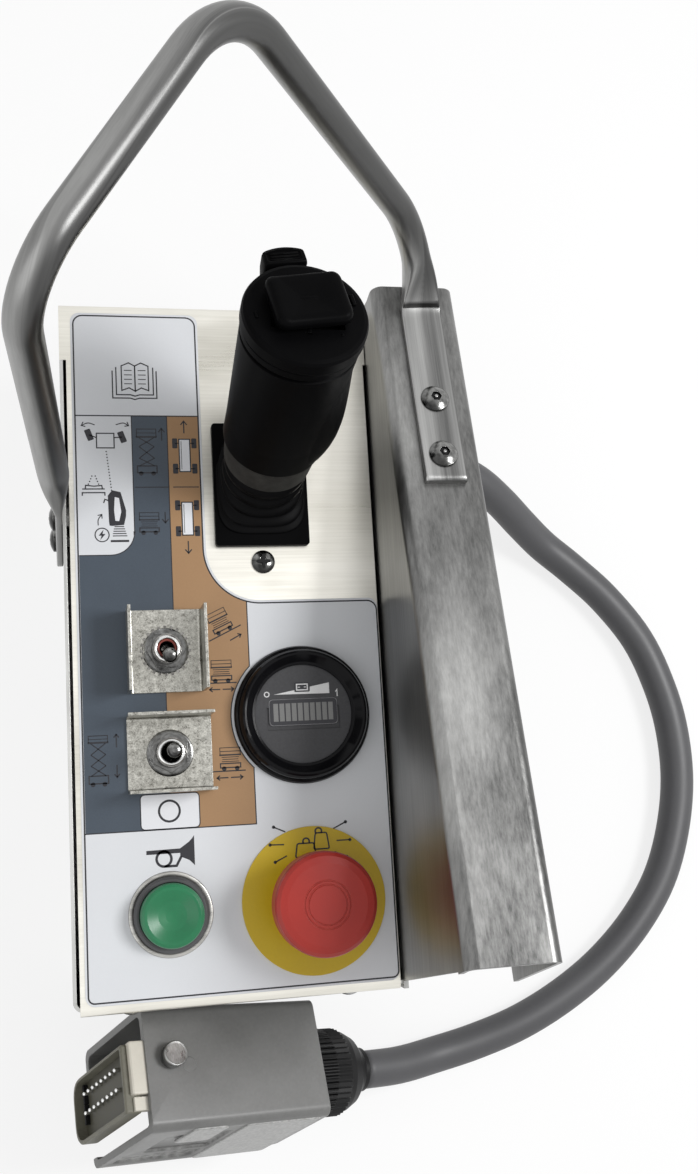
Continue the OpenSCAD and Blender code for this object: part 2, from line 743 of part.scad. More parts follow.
module trigger_pin() {
  color("#a8a9aa") joy_frame() translate([0, trigger_pin_y, trigger_top - 4]) rotate([0, 90, 0])
    cylinder(r = 1.5, h = trigger_w + 6, center = true, $fn = small_fn);
}

rocker_w = 31;
rocker_l = 23;
rocker_y = 2.5;
rocker_h = 7;
rocker_pin_r = 1.5;
rocker_pin_s = 1;
well_w = 27;

module grip_cap() {
  s0 = grip_reach - cap_h;
  color("#161718") joy_frame() difference() {
    rotate_extrude($fn = fine) polygon([
      [0, s0], [cap_r - 0.7, s0], [cap_r, s0 + 0.8], [cap_r, grip_reach - 1.8],
      [cap_r - 0.6, grip_reach - 0.5], [cap_r - 2, grip_reach], [0, grip_reach]
    ]);
    translate([-well_w / 2, rocker_y - rocker_l / 2 + 1.5, s0 + 1.2])
      cube([well_w, rocker_l - 3, cap_h]);
    translate([0, rocker_y, grip_reach - rocker_pin_s]) rotate([90, 0, 0])
      cylinder(r = rocker_pin_r, h = rocker_l + 2, center = true, $fn = small_fn);
  }
}

// Thumb rocker with two wings and a valley between them
module grip_rocker() {
  w = rocker_w / 2;
  color("#111213") joy_frame() translate([0, rocker_y, grip_reach]) difference() {
    union() {
      translate([0, rocker_l / 2, 0]) rotate([90, 0, 0]) linear_extrude(rocker_l) polygon([
        [-w, 2.6], [-w + 0.6, 2.1], [w - 0.6, 2.1], [w, 2.6], [w, rocker_h - 1.4],
        [w - 0.5, rocker_h - 0.4], [w - 1.6, rocker_h], [w - 3.4, rocker_h], [w / 2, rocker_h - 1.2],
        [1.2, rocker_h - 2.9], [0, rocker_h - 3.1], [-1.2, rocker_h - 2.9], [-w / 2, rocker_h - 1.2],
        [-w + 3.4, rocker_h], [-w + 1.6, rocker_h], [-w + 0.5, rocker_h - 0.4], [-w, rocker_h - 1.4]
      ]);
      translate([-4, -rocker_l / 2 + 2, -3.6]) cube([8, rocker_l - 4, 6]);
    }
    translate([0, 0, -rocker_pin_s]) rotate([90, 0, 0])
      cylinder(r = rocker_pin_r + run_gap, h = rocker_l + 2 * cut, center = true, $fn = small_fn);
  }
}

module rocker_pin() {
  color("#a8a9aa") joy_frame() translate([0, rocker_y, grip_reach - rocker_pin_s])
    rotate([90, 0, 0]) cylinder(r = rocker_pin_r, h = rocker_l + 1, center = true, $fn = small_fn);
}

// Stop button

module stop_disc() {
  color("#d9c51c") on_panel(stop_pos) translate([0, 0, label_t])
    ring_nut(disc_d / 2, 0.8, mount_r + screw_gap);
}

stop_base = label_t + 0.8;

module stop_collar() {
  color("#b9a517") on_panel(stop_pos) difference() {
    rotate_extrude($fn = fine) polygon([
      [stop_stem_r + run_gap, -26], [mount_r, -26], [mount_r, stop_base], [15, stop_base],
      [15, stop_base + 2], [14, stop_base + collar_h], [12.5, stop_base + collar_h],
      [11.5, stop_base + collar_h + 3.5], [stop_stem_r + run_gap, stop_base + collar_h + 3.5]
    ]);
  }
}

module stop_stem() {
  top = stop_h - 5;
  color("#3b3b3b") on_panel(stop_pos) {
    translate([0, 0, -30]) cylinder(r = stop_stem_r, h = top + 30, $fn = round_fn);
  }
}

module stop_head() {
  r = stop_head_d / 2;
  s0 = stop_h - stop_head_h;
  color("#c5301f") on_panel(stop_pos) difference() {
    rotate_extrude($fn = fine) polygon([
      [0, stop_h - 5 + run_gap], [stop_stem_r + run_gap, stop_h - 5 + run_gap],
      [stop_stem_r + run_gap, s0 - 2], [9.4, s0 - 2], [9.8, s0 + 2.2], [r - 3, s0 + 2.2],
      [r - 1.2, s0], [r - 0.5, s0], [r, s0 + 0.7], [r, stop_h - 3.6], [r - 0.5, stop_h - 2],
      [r - 1.8, stop_h - 0.9], [r - 4.5, stop_h - 0.35], [9.6, stop_h - 0.05], [9.45, stop_h - 0.35],
      [9.05, stop_h - 0.35], [8.9, stop_h - 0.05], [8.1, stop_h - 0.02], [7.95, stop_h - 0.32],
      [7.55, stop_h - 0.32], [7.4, stop_h], [0, stop_h]
    ]);
  }
}

module stop_nut() {
  color("#8e8f90") on_panel(stop_pos) translate([0, 0, -cover_t - 3.5]) ring_nut(15, 3.5, mount_r + run_gap);
}

// Two contact blocks behind a button, on the collar's tail
module contact_blocks(stem_r) {
  difference() {
    translate([-15, -22, -62]) cube([30, 44, 32]);
    translate([0, 0, -42]) cylinder(r = stem_r + 2, h = 20, $fn = round_fn);
    for (sx = [-1, 1], sy = [-1, 1]) translate([sx * 8, sy * 17, -63]) cylinder(r = 2.4, h = 6, $fn = small_fn);
  }
  difference() {
    translate([0, 0, -30]) cylinder(r = 14, h = 6, $fn = round_fn);
    translate([0, 0, -31]) cylinder(r = mount_r + run_gap, h = 8, $fn = round_fn);
  }
}

module stop_contacts() {
  color("#e4e2da") on_panel(stop_pos) difference() {
    contact_blocks(stop_stem_r);
  }
}

// Horn button

module horn_bezel() {
  r = horn_d / 2;
  color("#2a2b2c") on_panel(horn_pos) rotate_extrude($fn = fine) polygon([
    [7.05, -26], [mount_r, -26], [mount_r, 0], [r - 0.6, 0], [r, 0.6], [r, 3.4], [r - 1, 4.6],
    [r - 2, 4.6], [r - 2, 1], [7.05, 1]
  ]);
}

module horn_cap() {
  r = horn_d / 2 - 2 - seat_gap;
  z0 = 1 + horn_travel + seat_gap;
  top = horn_cap_h;
  color("#1f8f55") on_panel(horn_pos) rotate_extrude($fn = fine) polygon([
    [0, -30], [7, -30], [7, z0], [r, z0], [r, top - 1.6], [r - 0.4, top - 0.6], [r - 1.5, top],
    [r - 2.6, top - 0.1], [r - 4.5, top - 0.9], [r - 7, top - 1.9], [r - 10, top - 2.4], [0, top - 2.6]
  ]);
}

module horn_nut() {
  color("#8e8f90") on_panel(horn_pos) translate([0, 0, -cover_t - 3.5]) ring_nut(15, 3.5, mount_r + run_gap);
}

module horn_contacts() {
  color("#e4e2da") on_panel(horn_pos) contact_blocks(7);
}

// Battery gauge

module gauge_bezel() {
  r = gauge_d / 2;
  f = gauge_face_d / 2;
  color("#101112") on_panel(gauge_pos) translate([0, 0, label_t]) rotate_extrude($fn = fine) polygon([
    [f, 0], [r - 0.4, 0], [r, 0.8], [r - 0.6, 2.6], [r - 1.4, 3], [r - 2, 5.6], [r - 2.8, gauge_h - 0.6],
    [r - 3.6, gauge_h], [r - 4.4, gauge_h - 0.3], [f + 1, 4.6], [f, 4.4]
  ]);
}

module gauge_face() {
  color("#1c1d20") on_panel(gauge_pos) translate([0, 0, label_t]) difference() {
    cylinder(d = gauge_face_d - 0.1, h = 3, $fn = fine);
    translate([-15.5, -6.5, 2.2]) cube([31, 9.5, 1 + cut]);
  }
}

module gauge_lens() {
  color([0.75, 0.76, 0.76]) on_panel(gauge_pos) translate([0, 0, label_t]) {
    pitch = 2.95;
    for (i = [0 : 9]) translate([-14.6 + i * pitch, -5.6, 2.2]) cube([2.35, 7.7, 0.6]);
  }
}

module gauge_body() {
  color("#202124") on_panel(gauge_pos) {
    translate([0, 0, -gauge_body_l]) cylinder(d = gauge_body_d, h = gauge_body_l + label_t, $fn = fine);
    for (sx = [-1, 1]) translate([sx * 16, 0, -gauge_body_l - 9]) cylinder(r = 2, h = 10, $fn = small_fn);
    for (y = [-18, -13, 13, 18]) translate([-3, y - 0.4, -gauge_body_l - 6]) cube([6, 0.8, 6]);
  }
}

module gauge_clamp() {
  z1 = -cover_t;
  color("#a8a9aa") on_panel(gauge_pos) difference() {
    union() {
      translate([-30, -7, -gauge_body_l - 1.5]) cube([60, 14, 1.5]);
      for (sx = [-1, 1]) translate([sx * 29.25 - 0.75, -7, -gauge_body_l - 1.5])
        cube([1.5, 14, gauge_body_l + 1.5 + z1]);
      for (sx = [-1, 1]) translate([sx * 16, 0, -gauge_body_l - 4.5]) cylinder(r = 4, h = 3, $fn = 6);
    }
    for (sx = [-1, 1]) translate([sx * 16, 0, -gauge_body_l - 6]) cylinder(r = 2 + run_gap, h = 8, $fn = small_fn);
  }
}

// Toggle switches and their guards

guard_z = label_t;
switch_top = guard_z + guard_t;

// Channel-shaped guard whose legs stand on both sides along Y
module switch_guard() {
  w = guard_w;
  r = guard_t + 1.3;
  translate([0, -guard_l / 2, guard_z]) difference() {
    union() {
      translate([-w / 2 + r, 0, 0]) cube([w - 2 * r, guard_l, guard_t]);
      translate([-w / 2, 0, 0]) rotate([0, 180, 0]) sheet_bend(r, guard_t, guard_l);
      translate([w / 2, guard_l, 0]) rotate([180, 0, 0]) sheet_bend(r, guard_t, guard_l);
      for (x = [-w / 2, w / 2 - guard_t]) translate([x, 0, r]) cube([guard_t, guard_l, guard_h - r]);
    }
    translate([0, guard_l / 2, -cut]) cylinder(r = bushing_r + screw_gap, h = guard_t + 2 * cut, $fn = round_fn);
  }
}

module toggle_body() {
  b = toggle_body;
  neck = cover_t + 0.2;
  difference() {
    union() {
      translate([-b[0] / 2, -b[1] / 2, -b[2] - neck]) cube(b);
      for (y = [-10, 0, 10]) translate([-2.5, y - 0.5, -b[2] - neck - 8]) cube([5, 1, 8 + cut]);
    }
    translate([0, 0, -9 - neck]) cylinder(r = 5, h = 20, $fn = round_fn);
  }
}

module toggle_bushing() {
  translate([0, 0, -cover_t - 0.2]) difference() {
    cylinder(r = bushing_r, h = cover_t + 0.2 + switch_top + bushing_h, $fn = round_fn);
    translate([0, 0, -cut]) cylinder(r = ball_r + run_gap, h = 60, $fn = round_fn);
    translate([0, 0, cover_t + 0.2 + switch_top + ball_z])
      cylinder(r1 = ball_r + run_gap, r2 = bushing_bore, h = bushing_h - ball_z, $fn = round_fn);
    translate([0, 0, cover_t + 0.2 + switch_top + bushing_h - 0.01])
      cylinder(r = bushing_bore, h = cut, $fn = round_fn);
    translate([0, 0, -cut]) cylinder(r1 = bushing_bore, r2 = ball_r + run_gap, h = 3.6, $fn = round_fn);
    // Slot in which the lever's cross pin sits
    slot_top = cover_t + 0.2 + lever_pivot_z + lever_pin_r + run_gap;
    translate([-lever_pin_l / 2 - seat_gap, -lever_pin_r - run_gap, -cut])
      cube([lever_pin_l + 2 * seat_gap, 2 * (lever_pin_r + run_gap), slot_top + cut]);
  }
}

module toggle_nut() {
  translate([0, 0, switch_top]) {
    ring_nut(8.6, 0.7, bushing_r + run_gap);
    translate([0, 0, 0.7]) hex_nut(toggle_nut_af, toggle_nut_h, bushing_r + run_gap);
  }
}

// Bat lever: its ball sits in the bushing, its tail reaches into the body
module toggle_lever() {
  translate([0, 0, switch_top + ball_z - 2]) {
    sphere(r = ball_r, $fn = small_fn);
    rotate([0, 90, 0]) cylinder(r = lever_pin_r, h = lever_pin_l, center = true, $fn = small_fn);
    rotate_extrude($fn = small_fn) polygon([
      [0, -7], [1.1, -7], [1.2, -1], [1.5, 2], [1.9, 8], [2.7, lever_l - 4], [2.95, lever_l - 2.4],
      [2.8, lever_l - 1.1], [2.1, lever_l - 0.3], [1.1, lever_l], [0, lever_l]
    ]);
  }
}

lever_pivot_z = switch_top + ball_z - 2;

module upper_place() {
  on_panel(upper_pos) children();
}

module lower_place() {
  on_panel(lower_pos) rotate([0, 0, 90]) children();
}

module upper_guard() {
  color("#c9c7bf") upper_place() switch_guard();
}
module lower_guard() {
  color("#c9c7bf") lower_place() switch_guard();
}
module upper_switch() {
  color("#7a2c22") upper_place() toggle_body();
}
module lower_switch() {
  color("#7a2c22") lower_place() toggle_body();
}
module upper_bushing() {
  color("#b6b6b4") upper_place() toggle_bushing();
}
module lower_bushing() {
  color("#b6b6b4") lower_place() toggle_bushing();
}
module upper_nut() {
  color("#a9a9a8") upper_place() toggle_nut();
}
module lower_nut() {
  color("#a9a9a8") lower_place() toggle_nut();
}
module upper_lever() {
  color("#8b8b8a") upper_place() translate([0, 0, lever_pivot_z]) rotate([lever_throw, 0, 0])
    translate([0, 0, -lever_pivot_z]) toggle_lever();
}
module lower_lever() {
  color("#8b8b8a") lower_place() toggle_lever();
}

// Cable, its gland in the wall of the hook, and the connector

module cable_gland() {
  color("#232426") translate([x_hi, gland_y, gland_z]) rotate([0, 90, 0]) difference() {
    union() {
      translate([0, 0, -hook_t - 7]) cylinder(r = gland_thread_r, h = hook_t + 8, $fn = round_fn);
      cylinder(r = gland_r * 2 / sqrt(3), h = 7, $fn = 6);
      rotate_extrude($fn = round_fn) polygon([
        [0, 6], [gland_r, 6], [gland_r, 24], [gland_r - 2, 30], [cable_d / 2 + 1.4, gland_l + 3],
        [0, gland_l + 3]
      ]);
    }
    translate([0, 0, -hook_t - 7 - cut]) cylinder(r = gland_thread_r - 3, h = hook_t + 12, $fn = round_fn);
  }
}

module gland_locknut() {
  color("#a8a9aa") translate([hook_x - 3.5, gland_y, gland_z]) rotate([0, 90, 0])
    hex_nut(2 * gland_thread_r + 6, 3.5, gland_thread_r + run_gap);
}

// Ring of a round tube, square to the way from a to b
function cable_ring(p, a, b) =
  let (along = unit(b - a), side = unit(cross([0, 0, 1], along)), up = cross(along, side))
  [for (k = [0 : cable_sides - 1]) let (t = -360 * (k + 0.5) / cable_sides)
    p + (side * cos(t) + up * sin(t)) * cable_d / 2];

hood_axis = hood_vector([1, 0, 0]);
cable_start = [x_hi + gland_l + 3, gland_y, gland_z];
cable_end = hood_point([hood_l + nut_l + 6, hood_w / 2, -hood_d / 2]);

module supply_cable() {
  line = concat([cable_start], [for (p = cable_route) p], [cable_end]);
  n = len(line);
  rings = [for (i = [0 : n - 1])
    i == 0 ? cable_ring(line[0], line[0], line[0] + [1, 0, 0]) :
    i == n - 1 ? cable_ring(line[i], line[i] + hood_axis, line[i]) :
    cable_ring(line[i], line[i - 1], line[i + 1])];
  color("#7b7b7d") skin(rings, cable_sides);
}

module in_hood() {
  translate(hood_at) rotate(hood_turn) children();
}
// A direction and a point of the hood's frame, in the frame of the case
function turn_x(v, a) = [v[0], v[1] * cos(a) - v[2] * sin(a), v[1] * sin(a) + v[2] * cos(a)];
function turn_y(v, a) = [v[0] * cos(a) + v[2] * sin(a), v[1], -v[0] * sin(a) + v[2] * cos(a)];
function turn_z(v, a) = [v[0] * cos(a) - v[1] * sin(a), v[0] * sin(a) + v[1] * cos(a), v[2]];
function hood_vector(v) = turn_z(turn_y(turn_x(v, hood_turn[0]), hood_turn[1]), hood_turn[2]);
function hood_point(p) = hood_at + hood_vector(p);

// Box along X whose four long edges are round
module hood_block(l, w, d, r) {
  translate([0, w / 2, -d / 2]) rotate([0, 90, 0]) round_box(d, w, l, r);
}

module connector_hood() {
  w = hood_w;
  d = hood_d;
  color("#85878a") in_hood() difference() {
    union() {
      hood_block(hood_l, w, d, hood_r);
      translate([hood_l - cut, w / 2, -d / 2]) rotate([0, 90, 0])
        cylinder(r = nut_r - 2.5, h = 4 + cut, $fn = round_fn);
    }
    translate([-cut, hood_wall, -hood_wall])
      hood_block(hood_l - 12 + cut, w - 2 * hood_wall, d - 2 * hood_wall, hood_r - 1);
    translate([hood_l - 14, w / 2, -d / 2]) rotate([0, 90, 0])
      cylinder(r = cable_d / 2 + 2, h = 30, $fn = round_fn);
    // Sloping shoulder at the far side of the gland end
    translate([hood_l, w / 2, -d]) rotate([0, 45, 0]) cube([20, w + 2 * cut, 20], center = true);
    for (z = [0, -d]) translate([peg_in, w / 2, z]) cylinder(r = 2.5, h = 12, center = true, $fn = small_fn);
    // Shallow panels on the two side faces, with ribs left between them
    for (y = [0, w]) {
      translate([26, y, -d / 2 + 7]) cube([30, 2.4, d * 0.42], center = true);
      translate([60, y, -d / 2 - 2]) cube([26, 2.4, d * 0.62], center = true);
      translate([22, y, -d / 2 - 17]) cube([36, 2.4, d * 0.2], center = true);
    }
  }
}

// Knurled cap nut that closes on the cable
module hood_gland() {
  color("#1a1b1c") in_hood() translate([hood_l + 4, hood_w / 2, -hood_d / 2]) rotate([0, 90, 0])
    difference() {
      union() {
        linear_extrude(nut_l - 13) polygon([for (k = [0 : nut_teeth * 2 - 1])
          let (a = 180 * k / nut_teeth, r = nut_r - (k % 2) * 0.8) [r * cos(a), r * sin(a)]]);
        translate([0, 0, nut_l - 13]) rotate_extrude($fn = fine) polygon([
          [0, 0], [nut_r - 0.9, 0], [nut_r - 1.6, 3], [nut_r - 4, 7.5], [nut_r - 7.5, 10.8],
          [cable_d / 2 + 1.2, 13], [cable_d / 2 + 1.2, 15], [0, 15]
        ]);
      }
      translate([0, 0, -cut]) cylinder(r = cable_d / 2, h = 10, $fn = round_fn);
    }
}

insert_b = hood_w / 2 + 1;

module connector_insert() {
  w = insert_w;
  d = insert_d;
  color("#4d4a35") in_hood() difference() {
    translate([-insert_out, insert_b - w / 2, -hood_d / 2 + d / 2]) union() {
      translate([0, 2, -3]) hood_block(insert_out + 34, w - 4, d - 6, 2);
      translate([insert_out - 5, 0, 0]) hood_block(26, w, d, 1.5);
      translate([1.5, w - 20, -d]) cube([24, 16, d]);
    }
    translate([-insert_out - cut, insert_b - w / 2 + 5, -hood_d / 2 - d / 2 + 6])
      cube([3, w - 10, d - 12]);
  }
}

module contact_pins() {
  c0 = (pin_count - 1) * pin_pitch / 2;
  color("#c8c9ca") in_hood() for (k = [0 : pin_count - 1], row = [-1, 1])
    translate([-insert_out + 2, insert_b - 3 + row * pin_row / 2, -hood_d / 2 + c0 - k * pin_pitch])
      rotate([0, -90, 0]) cylinder(r = pin_r, h = pin_out, $fn = 16);
}

module locking_pegs() {
  color("#c2c3c4") in_hood() for (side = [0, 1])
    translate([peg_in, hood_w / 2, -side * hood_d]) mirror([0, 0, side]) {
      translate([0, 0, -hood_wall - 1]) cylinder(r = 2.5 - run_gap, h = hood_wall + 1.5, $fn = small_fn);
      cylinder(r = peg_r - 0.9, h = 2, $fn = round_fn);
      translate([0, 0, 2]) cylinder(r = peg_r, h = peg_h - 2.5, $fn = round_fn);
      translate([0, 0, peg_h - 0.5]) cylinder(r1 = peg_r, r2 = peg_r - 0.5, h = 0.5, $fn = round_fn);
    }
}

// Board and its standoffs

board_hole = [board_size[0] / 2 - 6, board_size[1] / 2 - 6];

module circuit_board() {
  color("#2f6b45") translate([-4, board_y + 40, board_z]) difference() {
    union() {
      translate([-board_size[0] / 2, -board_size[1] / 2, 0]) cube(board_size);
      for (y = [-50 : 25 : 50]) translate([-38, y - 9, 0]) cube([12, 18, 12]);
      translate([12, 30, 0]) cube([22, 30, 10]);
      translate([8, -30, 0]) cube([28, 40, 6]);
    }
    for (sx = [-1, 1], sy = [-1, 1]) translate([sx * board_hole[0], sy * board_hole[1], -cut])
      cylinder(r = 1.7, h = 2 * cut + 2, $fn = small_fn);
  }
}

module board_standoffs() {
  color("#c8b56a") translate([-4, board_y + 40, 0]) for (sx = [-1, 1], sy = [-1, 1])
    translate([sx * board_hole[0], sy * board_hole[1], tray_t]) {
      cylinder(r = 3.2, h = board_z - tray_t, $fn = 6);
      cylinder(r = 1.6, h = board_z - tray_t + 3, $fn = small_fn);
    }
}

enclosure_tray();
hook_bracket();
cover_plate();
control_label();
cover_screws();
hook_screws();
guard_handle();
handle_screws();
handle_nuts();
joystick_housing();
joystick_flange();
joystick_screws();
joystick_axle();
joystick_boot();
joystick_shaft();
grip_collar();
joystick_grip();
grip_cap();
grip_rocker();
rocker_pin();
grip_trigger();
trigger_pin();
stop_disc();
stop_collar();
stop_stem();
stop_head();
stop_nut();
stop_contacts();
horn_bezel();
horn_cap();
horn_nut();
horn_contacts();
gauge_bezel();
gauge_face();
gauge_lens();
gauge_body();
gauge_clamp();
upper_guard();
upper_switch();
upper_bushing();
upper_nut();
upper_lever();
lower_guard();
lower_switch();
lower_bushing();
lower_nut();
lower_lever();
cable_gland();
gland_locknut();
supply_cable();
connector_hood();
hood_gland();
connector_insert();
contact_pins();
locking_pegs();
circuit_board();
board_standoffs();
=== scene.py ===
import math

import bpy
from mathutils import Euler, Matrix, Vector


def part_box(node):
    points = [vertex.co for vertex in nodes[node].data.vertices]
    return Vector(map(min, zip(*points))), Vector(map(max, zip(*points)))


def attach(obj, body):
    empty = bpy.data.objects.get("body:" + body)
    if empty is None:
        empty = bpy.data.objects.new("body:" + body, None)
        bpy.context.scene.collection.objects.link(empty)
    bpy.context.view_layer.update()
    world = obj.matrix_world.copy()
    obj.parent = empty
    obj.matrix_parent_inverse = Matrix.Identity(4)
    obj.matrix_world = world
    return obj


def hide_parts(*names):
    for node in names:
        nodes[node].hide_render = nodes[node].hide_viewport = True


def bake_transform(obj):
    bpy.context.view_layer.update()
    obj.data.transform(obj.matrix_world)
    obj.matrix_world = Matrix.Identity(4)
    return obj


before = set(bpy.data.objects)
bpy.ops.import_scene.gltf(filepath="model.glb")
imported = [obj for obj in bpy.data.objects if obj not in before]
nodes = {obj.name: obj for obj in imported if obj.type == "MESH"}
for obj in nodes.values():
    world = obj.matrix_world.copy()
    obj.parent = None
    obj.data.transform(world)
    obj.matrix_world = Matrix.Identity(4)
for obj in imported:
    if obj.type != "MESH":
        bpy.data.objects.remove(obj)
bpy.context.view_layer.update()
scene = bpy.context.scene
scene.view_settings.view_transform = "Standard"

# The case's frame has +Z out of the panel. A length in millimetres is multiplied by MM to make metres.
MM = 0.001

# Camera at the photograph's place
CAMERA_AT = (-0.06776, -0.06968, 0.64079)
CAMERA_TURN = (10.2062, -12.1958, -3.3963)
CAMERA_LENS = 39.02
CAMERA_SENSOR = 36.0

# Route of the supply cable from the case's gland to the connector, in metres
CABLE_ROUTE = [
    (0.106, 0.092, 0.050), (0.122, 0.091, 0.048), (0.138, 0.086, 0.041), (0.153, 0.078, 0.031),
    (0.168, 0.068, 0.020), (0.182, 0.058, 0.012), (0.198, 0.046, 0.009), (0.216, 0.029, 0.0087),
    (0.233, 0.006, 0.0087), (0.2432, -0.020, 0.0087), (0.2478, -0.044, 0.0087), (0.2478, -0.070, 0.0087),
    (0.2422, -0.096, 0.0087), (0.232, -0.120, 0.0087), (0.216, -0.141, 0.0087), (0.196, -0.159, 0.0087),
    (0.174, -0.173, 0.0087), (0.150, -0.184, 0.0087), (0.126, -0.191, 0.0087), (0.104, -0.195, 0.0105),
    (0.084, -0.1966, 0.0176), (0.0631, -0.1955, 0.0256),
]
CABLE_D = 17 * MM
CABLE_SIDES = 32
CABLE_STEPS = 6


def middle(node):
    """Centre of a CAD node's box."""
    low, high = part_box(node)
    return (low + high) / 2


# Places on the panel, worked out from the frame
cover_low, cover_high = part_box("cover_plate")
panel_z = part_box("control_label")[0].z
film_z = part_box("control_label")[1].z
joystick_at = middle("joystick_flange")
horn_at = middle("horn_bezel")
gauge_at = middle("gauge_bezel")


def camera_for_photo():
    """Camera of the photograph."""
    made = bpy.data.objects.new("camera", bpy.data.cameras.new("camera"))
    scene.collection.objects.link(made)
    made.location = CAMERA_AT
    made.rotation_euler = [math.radians(a) for a in CAMERA_TURN]
    made.data.lens = CAMERA_LENS
    made.data.sensor_width = CAMERA_SENSOR
    scene.camera = made


# Shader helpers

def add_node(tree, kind, values=None, **settings):
    """Node of a kind, with settings, and values or links for its inputs."""
    made = tree.nodes.new(kind)
    for key, value in settings.items():
        setattr(made, key, value)
    for key, value in (values or {}).items():
        if isinstance(value, bpy.types.NodeSocket):
            tree.links.new(value, made.inputs[key])
        else:
            made.inputs[key].default_value = value
    return made


def noise(tree, vector, scale, detail=4.0, rough=0.55):
    """Factor of a noise texture."""
    values = {"Vector": vector, "Scale": scale, "Detail": detail, "Roughness": rough}
    return add_node(tree, "ShaderNodeTexNoise", values).outputs["Fac"]


def sharpened(tree, value, low, high, to_low=0.0, to_high=1.0, **settings):
    """Value mapped from low..high to to_low..to_high, clamped."""
    values = {"Value": value, "From Min": low, "From Max": high, "To Min": to_low, "To Max": to_high}
    return add_node(tree, "ShaderNodeMapRange", values, **settings).outputs["Result"]


def worked(tree, operation, a, b):
    """Result of a math node."""
    return add_node(tree, "ShaderNodeMath", {0: a, 1: b}, operation=operation).outputs[0]


def vector_work(tree, operation, a, b, result="Vector"):
    """Result of a vector math node."""
    return add_node(tree, "ShaderNodeVectorMath", {0: a, 1: b}, operation=operation).outputs[result]


def shared(tree, factor, a, b):
    """Mix of two values by a factor."""
    return add_node(tree, "ShaderNodeMix", {"Factor": factor, "A": a, "B": b}).outputs["Result"]


def mixed(tree, factor, a, b):
    """Mix of two colours; each is a socket or three numbers."""
    made = add_node(tree, "ShaderNodeMix", data_type="RGBA", clamp_factor=True)
    tree.links.new(factor, made.inputs["Factor"])
    for key, value in (("A", a), ("B", b)):
        socket = next(s for s in made.inputs if s.name == key and s.type == "RGBA")
        if isinstance(value, bpy.types.NodeSocket):
            tree.links.new(value, socket)
        else:
            socket.default_value = (*value, 1.0)
    return next(s for s in made.outputs if s.type == "RGBA")


# Shader groups. The first three put out a mask that mixes two colours, and a height for the bump.

def new_group(name, inputs, outputs):
    """Node group with named sockets, its own inputs and its end. A triple of numbers makes a vector input."""
    tree = bpy.data.node_groups.new(name, "ShaderNodeTree")
    for label, value in inputs.items():
        kind = "NodeSocketVector" if isinstance(value, tuple) else "NodeSocketFloat"
        made = tree.interface.new_socket(label, in_out="INPUT", socket_type=kind)
        made.default_value = value
    for label, kind in outputs.items():
        tree.interface.new_socket(label, in_out="OUTPUT", socket_type="NodeSocket" + kind)
    return tree, tree.nodes.new("NodeGroupInput").outputs, tree.nodes.new("NodeGroupOutput").inputs


def brushed_group():
    """Fine lines of brushed metal with cloudy patches."""
    tree, given, out = new_group(
        "brushed lines",
        {"Vector": (0, 0, 0), "Lines": (20, 2000, 2000), "Clouds": (8, 30, 30), "Cloud share": 0.5},
        {"Mask": "Float", "Height": "Float"})
    lines = noise(tree, vector_work(tree, "MULTIPLY", given["Vector"], given["Lines"]), 1.0, 5.0, 0.7)
    clouds = noise(tree, vector_work(tree, "MULTIPLY", given["Vector"], given["Clouds"]), 1.0, 3.0, 0.5)
    line_tone, cloud_tone = sharpened(tree, lines, 0.25, 0.75), sharpened(tree, clouds, 0.3, 0.7)
    mask = shared(tree, given["Cloud share"], line_tone, cloud_tone)
    tree.links.new(mask, out["Mask"])
    tree.links.new(lines, out["Height"])
    return tree


def moulded_group():
    """Fine grain and faint mottling of moulded plastic, rubber or film."""
    tree, given, out = new_group(
        "moulded grain", {"Vector": (0, 0, 0), "Grain": 1500.0, "Mottle": 60.0, "Mottle share": 0.6},
        {"Mask": "Float", "Height": "Float"})
    grain = noise(tree, given["Vector"], given["Grain"], 2.0)
    mottle = sharpened(tree, noise(tree, given["Vector"], given["Mottle"]), 0.3, 0.7)
    tree.links.new(shared(tree, given["Mottle share"], grain, mottle), out["Mask"])
    tree.links.new(grain, out["Height"])
    return tree


def dimpled_group():
    """Round-edged cells: hammer-finish paint, spangled zinc or a dimpled face."""
    tree, given, out = new_group(
        "dimpled cells", {"Vector": (0, 0, 0), "Cells": 700.0, "Mottle": 60.0, "Mottle share": 0.4},
        {"Mask": "Float", "Height": "Float"})
    cells = add_node(tree, "ShaderNodeTexVoronoi", {
        "Vector": given["Vector"], "Scale": given["Cells"], "Smoothness": 0.6}, feature="SMOOTH_F1")
    mottle = sharpened(tree, noise(tree, given["Vector"], given["Mottle"]), 0.3, 0.7)
    tone = add_node(tree, "ShaderNodeSeparateColor", {"Color": cells.outputs["Color"]}).outputs[0]
    tree.links.new(shared(tree, given["Mottle share"], tone, mottle), out["Mask"])
    tree.links.new(cells.outputs["Distance"], out["Height"])
    return tree


def edge_group():
    """Rounded edge normals, and a mask of the edges broken up in patches, for edge wear and painted edge
    highlights.
    """
    tree, given, out = new_group("edge wear and highlight", {"Vector": (0, 0, 0), "Radius": 0.0004, "Breaks": 300.0},
                                 {"Normal": "Vector", "Edge": "Float"})
    round_edge = add_node(tree, "ShaderNodeBevel", {"Radius": given["Radius"]}, samples=4).outputs[0]
    flat = add_node(tree, "ShaderNodeNewGeometry").outputs["True Normal"]
    edge = sharpened(tree, vector_work(tree, "DOT_PRODUCT", round_edge, flat, "Value"), 0.97, 0.80)
    breaks = sharpened(tree, noise(tree, given["Vector"], given["Breaks"]), 0.35, 0.65)
    tree.links.new(round_edge, out["Normal"])
    tree.links.new(worked(tree, "MULTIPLY", edge, breaks), out["Edge"])
    return tree


